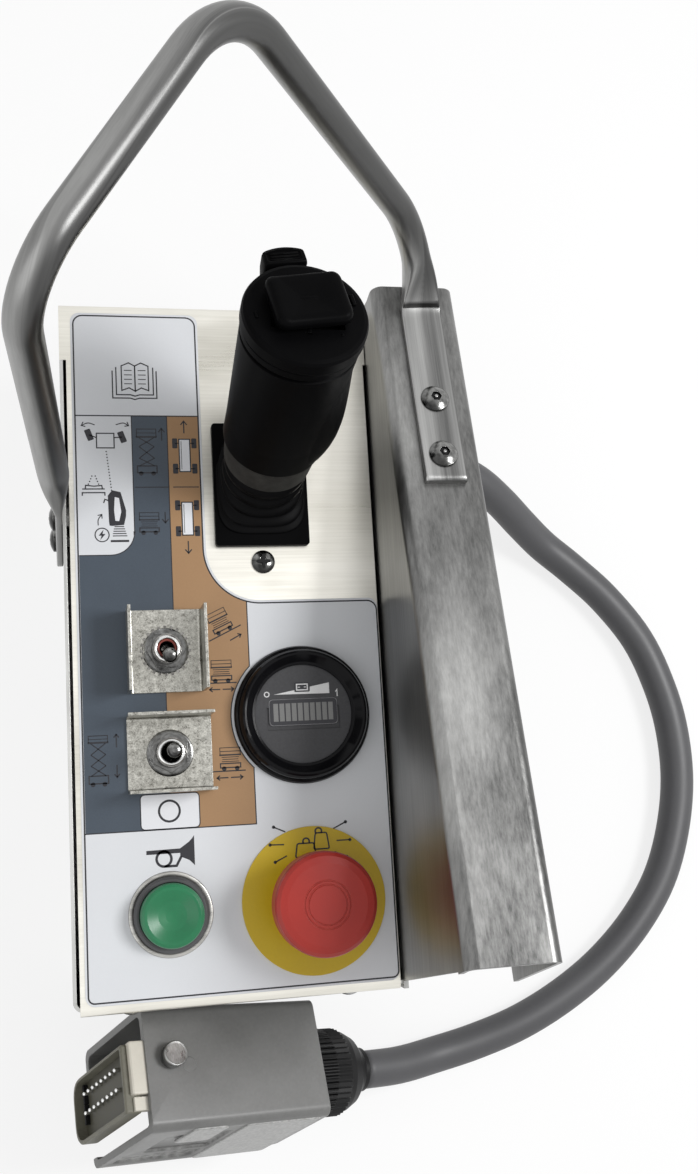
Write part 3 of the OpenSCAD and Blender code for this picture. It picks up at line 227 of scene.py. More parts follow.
def dust_group():
    """Dust that settles on faces that look up, in patches."""
    tree, given, out = new_group("settled dust", {"Vector": (0, 0, 0), "Patches": 120.0, "Amount": 0.5},
                                 {"Dust": "Float"})
    normal = add_node(tree, "ShaderNodeNewGeometry").outputs["Normal"]
    height = add_node(tree, "ShaderNodeSeparateXYZ", {0: normal}).outputs["Z"]
    upward = sharpened(tree, height, -0.4, 0.9, 0.35)
    patches = sharpened(tree, noise(tree, given["Vector"], given["Patches"], 6.0, 0.7), 0.4, 0.7)
    amount = worked(tree, "MULTIPLY", patches, given["Amount"])
    tree.links.new(worked(tree, "MULTIPLY", amount, upward), out["Dust"])
    return tree


def painted_shade_group():
    """Mask of painted shade on the side of a tube that faces a direction, with a soft edge."""
    tree, given, out = new_group("dark band", {"Direction": (0.6, -0.4, 0.6), "From": 0.0, "To": 0.6},
                                 {"Painted shade": "Float"})
    normal = add_node(tree, "ShaderNodeNewGeometry").outputs["Normal"]
    along = vector_work(tree, "DOT_PRODUCT", normal, given["Direction"], "Value")
    band = sharpened(tree, along, given["From"], given["To"], interpolation_type="SMOOTHSTEP")
    tree.links.new(band, out["Painted shade"])
    return tree


BRUSHED = brushed_group()
MOULDED = moulded_group()
DIMPLED = dimpled_group()
EDGES = edge_group()
DUST = dust_group()
PAINTED_SHADE = painted_shade_group()
FINISHES = {}


def finish(name, light, dark, rough, grain, values, bump=0.15, depth=0.05, edge=None, radius=0.3, dust=None,
           place="Object", band=None, **sockets):
    """Material from two colours, a roughness range, a grain group, an edge tint that is a painted highlight
    on metal, painted shade, and dust.

    depth and radius are in millimetres. edge is a colour and a share for a tint on the edges, which on metal
    is a painted highlight, and dust is a colour and an amount.
    The shade band is a direction, the two ends of its soft edge, a colour and a share; it paints shade on the
    side that faces the direction. place is Object, or UV on pieces whose pattern follows their length.
    sockets are set on the shader itself."""
    made = bpy.data.materials.new(name)
    made.use_nodes = True
    tree = made.node_tree
    shader = tree.nodes["Principled BSDF"]
    where = add_node(tree, "ShaderNodeTexCoord").outputs[place]
    pattern = add_node(tree, "ShaderNodeGroup", node_tree=grain)
    tree.links.new(where, pattern.inputs["Vector"])
    for key, value in values.items():
        pattern.inputs[key].default_value = value
    wear_and_highlight_edges = add_node(tree, "ShaderNodeGroup", node_tree=EDGES)
    tree.links.new(where, wear_and_highlight_edges.inputs["Vector"])
    wear_and_highlight_edges.inputs["Radius"].default_value = radius * MM
    mask = pattern.outputs["Mask"]
    colour = mixed(tree, mask, dark, light)
    # Edge tint in patches along the edges; on metal it is a painted highlight.
    if edge:
        tint, share = edge
        colour = mixed(tree, worked(tree, "MULTIPLY", wear_and_highlight_edges.outputs["Edge"], share), colour, tint)
    # Painted shade: darkens the side of a piece that faces a direction.
    if band:
        direction, (shade_from, shade_to), tint, share = band
        side = add_node(tree, "ShaderNodeGroup", {"From": shade_from, "To": shade_to}, node_tree=PAINTED_SHADE)
        side.inputs["Direction"].default_value = Vector(direction).normalized()
        colour = mixed(tree, worked(tree, "MULTIPLY", side.outputs["Painted shade"], share), colour, tint)
    if dust:
        tint, amount = dust
        lying = add_node(tree, "ShaderNodeGroup", {"Vector": where, "Amount": amount}, node_tree=DUST)
        colour = mixed(tree, lying.outputs["Dust"], colour, tint)
    tree.links.new(colour, shader.inputs["Base Color"])
    tree.links.new(sharpened(tree, mask, 0.0, 1.0, rough[0], rough[1]), shader.inputs["Roughness"])
    relief = add_node(tree, "ShaderNodeBump", {"Strength": bump, "Distance": depth * MM})
    tree.links.new(pattern.outputs["Height"], relief.inputs["Height"])
    tree.links.new(wear_and_highlight_edges.outputs["Normal"], relief.inputs["Normal"])
    tree.links.new(relief.outputs["Normal"], shader.inputs["Normal"])
    for key, value in sockets.items():
        shader.inputs[key.replace("_", " ")].default_value = value
    FINISHES[name] = made


def brushed(name, light, dark, rough, lines, clouds, cloud_share=0.5, **more):
    """Brushed metal. lines and clouds are cells per metre along each axis."""
    values = {"Lines": lines, "Clouds": clouds, "Cloud share": cloud_share}
    finish(name, light, dark, rough, BRUSHED, values, depth=0.02, Metallic=1.0, **more)


def moulded(name, light, dark, rough, grain, mottle, **more):
    """Moulded plastic, rubber, film or plated metal. grain and mottle are cells per metre."""
    finish(name, light, dark, rough, MOULDED, {"Grain": grain, "Mottle": mottle}, **more)


def dimpled(name, light, dark, rough, cells, mottle, mottle_share=0.4, **more):
    """Dimpled surface. cells and mottle are cells per metre."""
    values = {"Cells": cells, "Mottle": mottle, "Mottle share": mottle_share}
    finish(name, light, dark, rough, DIMPLED, values, **more)


# Sheet and bar metal: light and dark colour, roughness range, lines and clouds
brushed("case sheet", (0.72, 0.72, 0.70), (0.36, 0.36, 0.35), (0.28, 0.42), (900, 30, 900), (25, 12, 25),
        bump=0.25)
# Hook sheet: the large dark cloudy patches are painted reflection.
brushed("hook sheet", (0.47, 0.47, 0.46), (0.030, 0.030, 0.030), (0.28, 0.42), (700, 12, 700), (26, 9, 12),
        0.70, bump=0.3)
brushed("cover sheet", (0.96, 0.94, 0.875), (0.60, 0.58, 0.51), (0.24, 0.40), (16, 800, 800), (14, 30, 30),
        0.6, bump=0.3)
# Handle tube: the dark streaks along it are painted reflection, and the band paints shade on the side that
# faces +X and -Y.
brushed("handle steel", (0.62, 0.62, 0.61), (0.012, 0.012, 0.012), (0.28, 0.42), (1500, 22, 1), (95, 2.2, 1),
        0.80, bump=0.15, place="UV", band=((0.80, -0.45, 0.25), (0.10, 0.75), (0.035, 0.035, 0.035), 0.80))
brushed("shaft steel", (0.66, 0.66, 0.65), (0.40, 0.40, 0.40), (0.28, 0.46), (700, 700, 30), (18, 18, 18),
        bump=0.2)
brushed("peg disc", (0.46, 0.46, 0.45), (0.10, 0.10, 0.10), (0.22, 0.40), (1600, 300, 1600), (200, 60, 120),
        bump=0.2)
brushed("brushed ring", (0.62, 0.61, 0.58), (0.16, 0.16, 0.15), (0.30, 0.44), (60, 2200, 900), (60, 300, 60),
        bump=0.2)

# Small metal parts: light and dark colour, roughness range, grain or cells, and mottle. Where a pale edge
# tint is given, it is a painted highlight.
moulded("zinc screw", (0.55, 0.55, 0.54), (0.10, 0.10, 0.10), (0.20, 0.38), 900, 250, bump=0.2, depth=0.03,
        edge=((0.9, 0.9, 0.9), 0.6), Metallic=1.0)
moulded("nickel", (0.42, 0.41, 0.39), (0.055, 0.05, 0.045), (0.12, 0.26), 900, 300, bump=0.15, depth=0.02,
        edge=((0.85, 0.84, 0.82), 0.8), Metallic=1.0)
moulded("pin silver", (0.86, 0.86, 0.85), (0.60, 0.60, 0.60), (0.10, 0.24), 900, 300, bump=0.1, depth=0.02,
        Metallic=1.0)
# Dark chrome: the band paints shade on the side that faces -Y and a little -X, and the pale edge tint is a
# painted highlight.
moulded("dark chrome", (0.42, 0.42, 0.41), (0.020, 0.020, 0.020), (0.12, 0.26), 700, 330, bump=0.35,
        depth=0.04, edge=((0.85, 0.85, 0.84), 0.9),
        band=((-0.4, -0.85, 0.15), (-0.1, 0.6), (0.008, 0.008, 0.008), 0.9), Metallic=1.0)
moulded("brass", (0.72, 0.56, 0.26), (0.52, 0.40, 0.18), (0.24, 0.40), 900, 200, bump=0.1, depth=0.02,
        Metallic=1.0)
dimpled("guard zinc", (0.64, 0.63, 0.58), (0.15, 0.145, 0.125), (0.22, 0.44), 2600, 420, 0.5, bump=0.3,
        depth=0.02, edge=((0.92, 0.91, 0.88), 0.6), Metallic=1.0)

# Plastic, rubber and film
DUSTY = (0.30, 0.29, 0.27)
moulded("label film", (0.70, 0.715, 0.74), (0.64, 0.655, 0.68), (0.30, 0.40), 1400, 14, bump=0.10,
        depth=0.03)
moulded("black plastic", (0.0025, 0.0025, 0.0028), (0.0012, 0.0012, 0.0014), (0.36, 0.50), 1600, 60,
        bump=0.25, depth=0.04, edge=((0.012, 0.012, 0.012), 0.6), Specular_IOR_Level=0.03)
moulded("boot rubber", (0.0022, 0.0022, 0.0025), (0.001, 0.001, 0.0012), (0.42, 0.60), 1100, 80, bump=0.3,
        Specular_IOR_Level=0.06)
moulded("collar plastic", (0.022, 0.021, 0.019), (0.010, 0.010, 0.009), (0.55, 0.75), 1200, 140, bump=0.3,
        dust=(DUSTY, 0.10), Specular_IOR_Level=0.2)
moulded("yellow plate", (0.62, 0.44, 0.008), (0.50, 0.34, 0.007), (0.32, 0.42), 900, 30, bump=0.08,
        depth=0.03)
moulded("yellow plastic", (0.76, 0.50, 0.020), (0.64, 0.42, 0.018), (0.34, 0.46), 900, 40, bump=0.08,
        depth=0.03)
moulded("red plastic", (0.38, 0.017, 0.008), (0.30, 0.012, 0.006), (0.34, 0.46), 1300, 50, bump=0.12,
        depth=0.03, edge=((0.80, 0.16, 0.10), 0.5))
moulded("green plastic", (0.008, 0.185, 0.07), (0.005, 0.13, 0.05), (0.30, 0.42), 1300, 70, bump=0.12,
        depth=0.03)
moulded("dark bezel", (0.075, 0.075, 0.078), (0.045, 0.045, 0.048), (0.32, 0.46), 1300, 80, bump=0.15,
        depth=0.03, edge=((0.25, 0.25, 0.25), 0.5))
moulded("gauge gloss", (0.006, 0.006, 0.007), (0.004, 0.004, 0.005), (0.10, 0.16), 500, 50, bump=0.03,
        depth=0.02, Specular_IOR_Level=0.10)
dimpled("gauge face", (0.040, 0.040, 0.044), (0.020, 0.020, 0.023), (0.42, 0.56), 1300, 40, bump=0.35)
moulded("light bars", (0.46, 0.47, 0.45), (0.36, 0.37, 0.36), (0.30, 0.42), 1500, 220, bump=0.1, depth=0.03)
moulded("switch red", (0.24, 0.045, 0.03), (0.16, 0.03, 0.02), (0.40, 0.55), 900, 90, bump=0.15, depth=0.03)
moulded("contact cream", (0.66, 0.63, 0.55), (0.56, 0.53, 0.46), (0.40, 0.55), 900, 90, bump=0.15,
        depth=0.03)
moulded("gland black", (0.006, 0.006, 0.0065), (0.003, 0.003, 0.0032), (0.34, 0.52), 1200, 90, bump=0.2,
        depth=0.04, edge=((0.03, 0.03, 0.03), 0.7), Specular_IOR_Level=0.22)
moulded("cable sheath", (0.078, 0.078, 0.082), (0.056, 0.056, 0.060), (0.42, 0.54), 700, 20, bump=0.15,
        depth=0.04)
dimpled("board green", (0.030, 0.17, 0.075), (0.020, 0.12, 0.055), (0.30, 0.45), 300, 60, bump=0.1,
        depth=0.03)

# Connector: painted and cast hood, insert and its pin field
dimpled("hood paint", (0.165, 0.165, 0.161), (0.122, 0.122, 0.119), (0.32, 0.46), 900, 40, 0.7, bump=0.12,
        edge=((0.50, 0.50, 0.49), 0.5), radius=0.8)
dimpled("hood cast", (0.46, 0.46, 0.45), (0.20, 0.20, 0.195), (0.30, 0.42), 900, 160, 0.3, bump=0.5,
        depth=0.12)
moulded("insert olive", (0.17, 0.165, 0.125), (0.085, 0.08, 0.06), (0.42, 0.56), 900, 90, bump=0.15,
        depth=0.03, edge=((0.55, 0.54, 0.48), 0.5))
# Darker olive of the sunk pin field: painted shade in the recess.
moulded("insert olive painted shade", (0.070, 0.067, 0.045), (0.034, 0.032, 0.022), (0.45, 0.60), 900, 300, bump=0.2,
        depth=0.04)

# Inks of the printed art: light and dark colour
for ink_name, ink_light, ink_dark in (
        ("dark ink", (0.014, 0.014, 0.020), (0.008, 0.008, 0.012)),
        ("blue field", (0.054, 0.073, 0.098), (0.036, 0.050, 0.069)),
        ("orange field", (0.365, 0.21, 0.10), (0.31, 0.18, 0.085)),
        ("white cell", (0.76, 0.77, 0.80), (0.70, 0.71, 0.74)),
        ("gauge window", (0.30, 0.30, 0.31), (0.22, 0.22, 0.23)),
        ("gauge bars", (0.24, 0.24, 0.235), (0.15, 0.15, 0.148)),
        ("gauge marks", (0.80, 0.80, 0.80), (0.70, 0.70, 0.70))):
    finish(ink_name, ink_light, ink_dark, (0.32, 0.46), MOULDED,
           {"Grain": 1700.0, "Mottle": 40.0, "Mottle share": 0.25}, bump=0.06, depth=0.02)

# Finish of each CAD node
NODE_FINISH = {
    "case sheet": ["enclosure_tray"],
    "hook sheet": ["hook_bracket"],
    "cover sheet": ["cover_plate"],
    "label film": ["control_label"],
    "zinc screw": ["cover_screws", "hook_screws", "handle_nuts", "gauge_clamp", "joystick_axle", "stop_nut",
                   "horn_nut", "trigger_pin", "gland_locknut"],
    "shaft steel": ["guard_handle", "joystick_shaft"],
    "black plastic": ["joystick_housing", "joystick_flange", "joystick_grip", "grip_cap", "grip_rocker",
                      "grip_trigger", "stop_stem", "gauge_body", "rocker_pin"],
    "boot rubber": ["joystick_boot"],
    "collar plastic": ["grip_collar"],
    "yellow plate": ["stop_disc"],
    "yellow plastic": ["stop_collar"],
    "red plastic": ["stop_head"],
    "green plastic": ["horn_cap"],
    "dark bezel": ["horn_bezel"],
    "gauge gloss": ["gauge_bezel"],
    "gauge face": ["gauge_face"],
    "light bars": ["gauge_lens"],
    "guard zinc": ["upper_guard", "lower_guard"],
    "nickel": ["upper_bushing", "lower_bushing"],
    "dark chrome": ["handle_screws", "joystick_screws", "upper_nut", "lower_nut", "upper_lever",
                    "lower_lever"],
    "switch red": ["upper_switch", "lower_switch"],
    "contact cream": ["stop_contacts", "horn_contacts"],
    "gland black": ["cable_gland", "hood_gland"],
    "hood paint": ["connector_hood"],
    "insert olive": ["connector_insert"],
    "pin silver": ["contact_pins", "locking_pegs"],
    "board green": ["circuit_board"],
    "brass": ["board_standoffs"],
}


def paint(made, finish_name):
    """Gives an object one finish in all its slots."""
    made.data.materials.clear()
    made.data.materials.append(FINISHES[finish_name])


def placed(name, mesh, body, finish_name):
    """Piece at the origin in its finish, which rides on a body if one is given."""
    made = bpy.data.objects.new(name, mesh)
    scene.collection.objects.link(made)
    if body:
        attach(made, body)
    paint(made, finish_name)
    return made


# Lines, outlines and lofts

def smooth_line(points, steps):
    """Catmull-Rom line through points, with steps between neighbours."""
    p = [Vector(q) for q in points]
    p = [2 * p[0] - p[1], *p, 2 * p[-1] - p[-2]]
    line = []
    for a, b, c, d in zip(p, p[1:], p[2:], p[3:]):
        for k in range(steps):
            t = k / steps
            line.append(0.5 * (2 * b + (c - a) * t + (2 * a - 5 * b + 4 * c - d) * t ** 2
                               + (3 * b - a - 3 * c + d) * t ** 3))
    line.append(p[-2])
    return line


def headings(line):
    """Direction of a line at each of its points."""
    last = len(line) - 1
    return [(line[min(i + 1, last)] - line[max(i - 1, 0)]).normalized() for i in range(last + 1)]


def running(line):
    """Length of a line up to each of its points."""
    way = [0.0]
    for a, b in zip(line, line[1:]):
        way.append(way[-1] + (b - a).length)
    return way


def arc(x, y, r, start, end, steps=10):
    """Points on an arc, in degrees."""
    turns = [math.radians(start + (end - start) * k / steps) for k in range(steps + 1)]
    return [(x + r * math.cos(a), y + r * math.sin(a)) for a in turns]


def circle(r, sides, x=0.0, y=0.0):
    """Closed ring of points around a centre."""
    return arc(x, y, r, 0, 360 - 360 / sides, sides - 1)


def soft_corners(points, radii, steps=5):
    """Closed outline with its corners rounded, by one radius or one for each corner."""
    if not isinstance(radii, tuple):
        radii = (radii,) * len(points)
    line = []
    for k, (corner, r) in enumerate(zip(points, radii)):
        b = Vector(corner)
        a, c = Vector(points[k - 1]), Vector(points[(k + 1) % len(points)])
        reach = min(r, (a - b).length / 2, (c - b).length / 2)
        p, q = b + (a - b).normalized() * reach, b + (c - b).normalized() * reach
        shares = [i / steps for i in range(steps + 1)]
        line += [(p * (1 - t) ** 2 + b * 2 * t * (1 - t) + q * t * t)[:] for t in shares]
    return line


def box_points(x0, y0, x1, y1):
    """Corners of a rectangle."""
    return [(x0, y0), (x1, y0), (x1, y1), (x0, y1)]


def moved(points, x, y, turn=0.0):
    """Points turned by degrees and moved."""
    c, s = math.cos(math.radians(turn)), math.sin(math.radians(turn))
    return [(x + px * c - py * s, y + px * s + py * c) for px, py in points]


def shrunk(outline, inset):
    """Outline drawn in by an inset, towards its middle."""
    middle_x = sum(x for x, _ in outline) / len(outline)
    middle_y = sum(y for _, y in outline) / len(outline)
    share_x = 1 - inset / max(abs(x - middle_x) for x, _ in outline)
    share_y = 1 - inset / max(abs(y - middle_y) for _, y in outline)
    return [(middle_x + (x - middle_x) * share_x, middle_y + (y - middle_y) * share_y) for x, y in outline]


def loft_faces(rings, loop=False, first=0):
    """Faces between rings of equal size, with both ends closed unless the rings meet in a loop."""
    count, total = len(rings[0]), len(rings)
    faces = []
    for i in range(total if loop else total - 1):
        a, b = first + i * count, first + (i + 1) % total * count
        faces += [(a + k, a + (k + 1) % count, b + (k + 1) % count, b + k) for k in range(count)]
    if not loop:
        faces.append(tuple(first + k for k in range(count))[::-1])
        faces.append(tuple(first + (total - 1) * count + k for k in range(count)))
    return faces


def lofted_many(name, groups, smooth=True):
    """One mesh of several lofts, each with its rings and whether they meet in a loop."""
    points, faces = [], []
    for rings, loop in groups:
        faces += loft_faces(rings, loop, len(points))
        points += [tuple(p) for r in rings for p in r]
    mesh = bpy.data.meshes.new(name)
    mesh.from_pydata(points, [], faces)
    for face in mesh.polygons:
        face.use_smooth = smooth and len(face.vertices) == 4
    return mesh


def lofted(name, rings, loop=False, smooth=True):
    """Mesh through rings of equal size."""
    return lofted_many(name, [(rings, loop)], smooth)


def add_length_map(mesh, ring, way):
    """UV map in metres on an open loft: U around its rings, V along the way."""
    around = running([Vector(p) for p in (*ring, ring[0])])
    uv = mesh.uv_layers.new(name="along")
    for index, face in enumerate(mesh.polygons):
        i, k = divmod(index, len(ring))
        places = [(0.0, way[0])] * len(face.vertices)
        if len(face.vertices) == 4:
            places = [(around[k], way[i]), (around[k + 1], way[i]), (around[k + 1], way[i + 1]),
                      (around[k], way[i + 1])]
        for corner, place in zip(face.loop_indices, places):
            uv.data[corner].uv = place


# Supply cable

def supply_cable():
    """Sheathed cable between the case and the connector, as one smooth tube."""
    line = smooth_line(CABLE_ROUTE, CABLE_STEPS)
    turns = [math.tau * k / CABLE_SIDES for k in range(CABLE_SIDES)]
    rings = []
    for point, along in zip(line, headings(line)):
        side = Vector((0, 0, 1)).cross(along).normalized()
        up = along.cross(side)
        rings.append([point + (side * math.cos(a) + up * math.sin(a)) * CABLE_D / 2 for a in turns])
    mesh = lofted("cable", rings)
    add_length_map(mesh, rings[0], running(line))
    made = placed("cable", mesh, "box", "cable sheath")
    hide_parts("supply_cable")
    return made


def declare_cable():
    """Works out the cable's smooth line once more and keeps nothing."""
    [p[:] for p in smooth_line(CABLE_ROUTE, CABLE_STEPS)]


# Carry handle: a tube bent in space whose ends are pressed flat. Lengths in millimetres.
HANDLE_D, TAB_W, TAB_T = 12.5, 17.5, 3.0
HANDLE_BENDS = [(-80.3, 81.8, 281.5), (-12.7, 184.5, 278.5), (85.7, 168.3, 144.2)]
BEND_RADII = [20, 28, 35, 42, 14]
HANDLE_SIDES = 48
HANDLE_STEP = 3.0
HANDLE_FADE = 30.0
TAB_POWER = 9
TAB_TRIM = 2
SIDE_X, SIDE_LOW, SIDE_HIGH = -69.5, 56, 118
SIDE_LEAN, SIDE_TOP_Y, SIDE_TOP_Z = 0.136, 58.5, 110
HOOK_X, HOOK_NEAR, HOOK_FAR, HOOK_RISE = 85.8, 56, 137, 167.85
HOOK_SLOPE = math.radians(14)
HOOK_FACING = Vector((0, math.sin(HOOK_SLOPE), math.cos(HOOK_SLOPE)))
SCREW_IN, HOOK_PITCH, SIDE_PITCH = 12, 26.5, 26.25


def side_y(z):
    """Place along the case of the handle's leg on the side wall, at a height."""
    return SIDE_TOP_Y - (SIDE_TOP_Z - z) * SIDE_LEAN


def hook_top(y):
    """Height of the hook's upper face at a place along the case."""
    return HOOK_RISE - y * math.tan(HOOK_SLOPE)


def hook_screw(i):
    """Centre of a hook screw, on the outer face of the handle's tab."""
    y = HOOK_NEAR + (SCREW_IN + i * HOOK_PITCH) * math.cos(HOOK_SLOPE)
    return Vector((HOOK_X, y, hook_top(y))) + HOOK_FACING * TAB_T


def turned_to(facing):
    """Turn that brings Z to a direction."""
    return facing.to_track_quat("Z", "Y").to_matrix().to_4x4()


def bend(a, b, c, r):
    """Arc of radius r that rounds corner b between a and c."""
    u, v = (a - b).normalized(), (c - b).normalized()
    half = math.acos(u.dot(v)) / 2
    centre = b + (u + v).normalized() * r / math.sin(half)
    p, q = b + u * r / math.tan(half) - centre, b + v * r / math.tan(half) - centre
    turn = math.pi - 2 * half
    steps = max(3, math.ceil(turn * r / HANDLE_STEP))
    return [centre + (p * math.sin(turn * (1 - i / steps)) + q * math.sin(turn * i / steps)) / math.sin(turn)
            for i in range(steps + 1)]


def soft_step(x):
    """Smooth step from 0 to 1."""
    x = min(1.0, max(0.0, x))
    return x * x * (3 - 2 * x)


def eased(a, b, share):
    """Value or point between a and b."""
    return a * (1 - share) + b * share


def super_ring(centre, u, v, half_u, half_v, power, sides):
    """Ring around a centre: a circle at power 2, and more like a soft rectangle at a higher power."""
    ring = []
    for k in range(sides):
        a = math.tau * (k + 0.5) / sides
        s, c = math.sin(a), math.cos(a)
        ring.append(centre + u * half_u * math.copysign(abs(s) ** (2 / power), s)
                    + v * half_v * math.copysign(abs(c) ** (2 / power), c))
    return ring


def handle_line():
    """Corners of the handle's centre line, and the line itself in short steps."""
    corners = [(SIDE_X, side_y(z), z) for z in (SIDE_LOW, SIDE_HIGH)] + HANDLE_BENDS
    corners += [(HOOK_X, y, hook_top(y) + TAB_T / 2 / math.cos(HOOK_SLOPE)) for y in (HOOK_FAR, HOOK_NEAR)]
    corners = [Vector(c) for c in corners]
    rough = [corners[0]]
    for a, b, c, r in zip(corners, corners[1:], corners[2:], BEND_RADII):
        rough += bend(a, b, c, r)
    rough.append(corners[-1])
    line = []
    for a, b in zip(rough, rough[1:]):
        steps = max(1, math.ceil((b - a).length / HANDLE_STEP))
        line += [a.lerp(b, k / steps) for k in range(steps)]
    return corners, [*line, rough[-1]]


def carry_handle():
    """Tube of the handle, with its two pressed ends."""
    corners, line = handle_line()
    way = running(line)
    flat_a = (corners[1] - corners[0]).length - TAB_TRIM
    flat_b = (corners[-1] - corners[-2]).length - TAB_TRIM
    round_length = way[-1] - flat_a - flat_b - 2 * HANDLE_FADE
    rings = []
    for point, along, length in zip(line, headings(line), way):
        turn = soft_step((length - flat_a - HANDLE_FADE) / round_length)
        flat = 1 - soft_step(min(length - flat_a, way[-1] - flat_b - length) / HANDLE_FADE)
        aim = eased(Vector((1, 0, 0)), HOOK_FACING, turn)
        u = (aim - along * aim.dot(along)).normalized()
        ring = super_ring(point, u, along.cross(u), eased(HANDLE_D, TAB_T, flat) / 2,
                          eased(HANDLE_D, TAB_W, flat) / 2, eased(2, TAB_POWER, flat), HANDLE_SIDES)
        rings.append([p * MM for p in ring])
    mesh = lofted("handle", rings)
    add_length_map(mesh, rings[0], [w * MM for w in way])
    made = placed("handle_tube", mesh, "box", "handle steel")
    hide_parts("guard_handle")


# Joystick: heights along the grip's axis and places around it, in millimetres
GRIP_TURN = 9.0
GRIP_REACH = 112.7
GRIP_LEAN, GRIP_SIDE_LEAN = 18.8, 1.7
CAP_R = 23.4
grip_base = Matrix.Translation(Vector((joystick_at.x, joystick_at.y, panel_z)) / MM)
lean_turn = (Matrix.Rotation(math.radians(GRIP_SIDE_LEAN), 4, "Y")
             @ Matrix.Rotation(math.radians(-GRIP_LEAN), 4, "X"))
grip_place = Matrix.Scale(MM, 4) @ grip_base @ lean_turn @ Matrix.Rotation(math.radians(GRIP_TURN), 4, "Z")


def plan_ring(outline, s):
    """Ring of an outline at a height."""
    return [(x, y, s) for x, y in outline]


def grip_piece(name, rings, body):
    """Black piece lofted through rings in the grip's own frame."""
    mesh = lofted(name, [[grip_place @ Vector(p) for p in r] for r in rings])
    return placed(name, mesh, body, "black plastic")


def thumb_rocker():
    """Soft block with a shallow valley between its two wings."""
    corner, corner_steps = 4.4, 7
    valley, valley_reach, valley_from = 2.3, 12.5, 5
    outline = soft_corners(box_points(-13.6, -9.4, 15, 13.2), corner, corner_steps)
    rings = []
    for inset, height in ((1.6, 1.9), (0.6, 2.1), (0, 2.8), (0, 5.2), (0.35, 6.3), (1.0, 7.0), (2.0, 7.35),
                          (4.0, 7.4), (6.5, 7.4), (9.0, 7.4), (10.6, 7.4)):
        depth = valley if height > valley_from else 0.0
        rings.append([(x, y, GRIP_REACH + height - depth * (1 - min(1.0, abs(x) / valley_reach)))
                      for x, y in shrunk(outline, inset)])
    made = grip_piece("thumb_rocker", rings, "rocker")
    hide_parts("grip_rocker")


def trigger_tab():
    """Free end of the trigger behind the cap, with a sunk field and ribs in its end face."""
    outer = arc(0, 12.4, 20.3, 66, 114, 12)
    outline = soft_corners([(8.3, 24.9), *outer, (-8.3, 24.9)], 0.9, 2)
    stations = ((2.0, 97.5), (0.9, 99.5), (0.2, 104), (0, 109.5), (0.3, 110.8), (0.8, 111.2), (1.4, 111.2),
                (1.6, 110.4))
    grip_piece("trigger_tab", [plan_ring(shrunk(outline, inset), s) for inset, s in stations], "trigger")
    rib_half_w, rib_half_l = 5.6, 0.3
    for k, y in enumerate((27.2, 28.6, 30.0)):
        rib = box_points(-rib_half_w, y - rib_half_l, rib_half_w, y + rib_half_l)
        grip_piece("tab_rib_%d" % k, [plan_ring(rib, s) for s in (109.8, 110.9)], "trigger")


def palm_swell():
    """Swelling of the grip on the side of the palm."""
    steps, swell_low, swell_high, swell_rise = 24, 37.2, 99, 5.8
    grip_r, sunk, wall, half_turn = 20.3, 0.4, 4, 80
    rings = []
    for k in range(steps + 1):
        share = k / steps
        s = eased(swell_low, swell_high, share)
        rise = swell_rise * math.sin(math.pi * share ** 0.5) ** 1.1 if 0 < share < 1 else 0.0
        radius = eased(grip_r, CAP_R - 1.5, min(1.0, share * 1.1))
        ring = []
        for i in range(steps + 1):
            a = math.radians(-half_turn + 2 * half_turn * i / steps)
            r = radius - sunk + rise * math.cos(a * 90 / half_turn) ** 1.3
            ring.append((r * math.cos(a + 0.1), r * math.sin(a + 0.1), s))
        back_r = radius - wall
        back = [(back_r * math.cos(a), back_r * math.sin(a), s) for a in (1.3, 0.4, -0.4, -1.2)]
        rings.append(ring + back)
    grip_piece("palm_swell", rings, "joystick")


def cap_marks():
    """Small bosses beside the rocker, from their place, width, length and height."""
    marks = ((18.6, 3.5, 1.5, 5.0, 1.0), (-18.4, 1.0, 1.2, 3.0, 0.7), (10.5, -11.6, 1.0, 1.0, 0.5))
    for k, (x, y, w, l, h) in enumerate(marks):
        outline = soft_corners(box_points(x - w / 2, y - l / 2, x + w / 2, y + l / 2), 0.45, 3)
        stations = ((0, -0.4), (0, h - 0.3), (0.3, h))
        rings = [plan_ring(shrunk(outline, inset), GRIP_REACH + z) for inset, z in stations]
        grip_piece("cap_mark_%d" % k, rings, "joystick")


# Boot: from the flange's soft rectangle up to the collar's circle, in millimetres
BOOT_RIBS = 5
BOOT_SIDES = 72
BOOT_RIB_STEPS = 12
BOOT_LOW, BOOT_HIGH = 3.0, 21.7
BOOT_HALF_L, BOOT_HALF_W, COLLAR_R = 22.5, 19.25, 17.6
BOOT_POWER = 4
BOOT_FADE = 1.6
BOOT_INNER_STEPS = 6
RIB_DEPTH, BOOT_WALL = 1.5, 3.1
BEND_LOW, BEND_HIGH = 3.2, 21.5


def boot_ring(share, grow):
    """Section of the boot at a share of its height."""
    lean, side = math.radians(GRIP_LEAN * share), math.radians(GRIP_SIDE_LEAN * share)
    rise, fade = eased(BOOT_LOW, BOOT_HIGH, share), soft_step(share * BOOT_FADE)
    axis = Vector((math.tan(math.radians(GRIP_SIDE_LEAN)), math.tan(math.radians(GRIP_LEAN)), 1)).normalized()
    sideways = Vector((math.cos(side), 0, -math.sin(side)))
    up = Vector((math.sin(side), math.sin(lean), math.cos(lean))).normalized()
    centre = Vector((0, 0, BOOT_LOW * (1 - share))) + axis * rise * share
    ring = super_ring(centre, up.cross(sideways), sideways, eased(BOOT_HALF_L, COLLAR_R, fade) + grow,
                      eased(BOOT_HALF_W, COLLAR_R, fade) + grow, eased(BOOT_POWER, 2, fade), BOOT_SIDES)
    return [(grip_base @ p) * MM for p in ring]


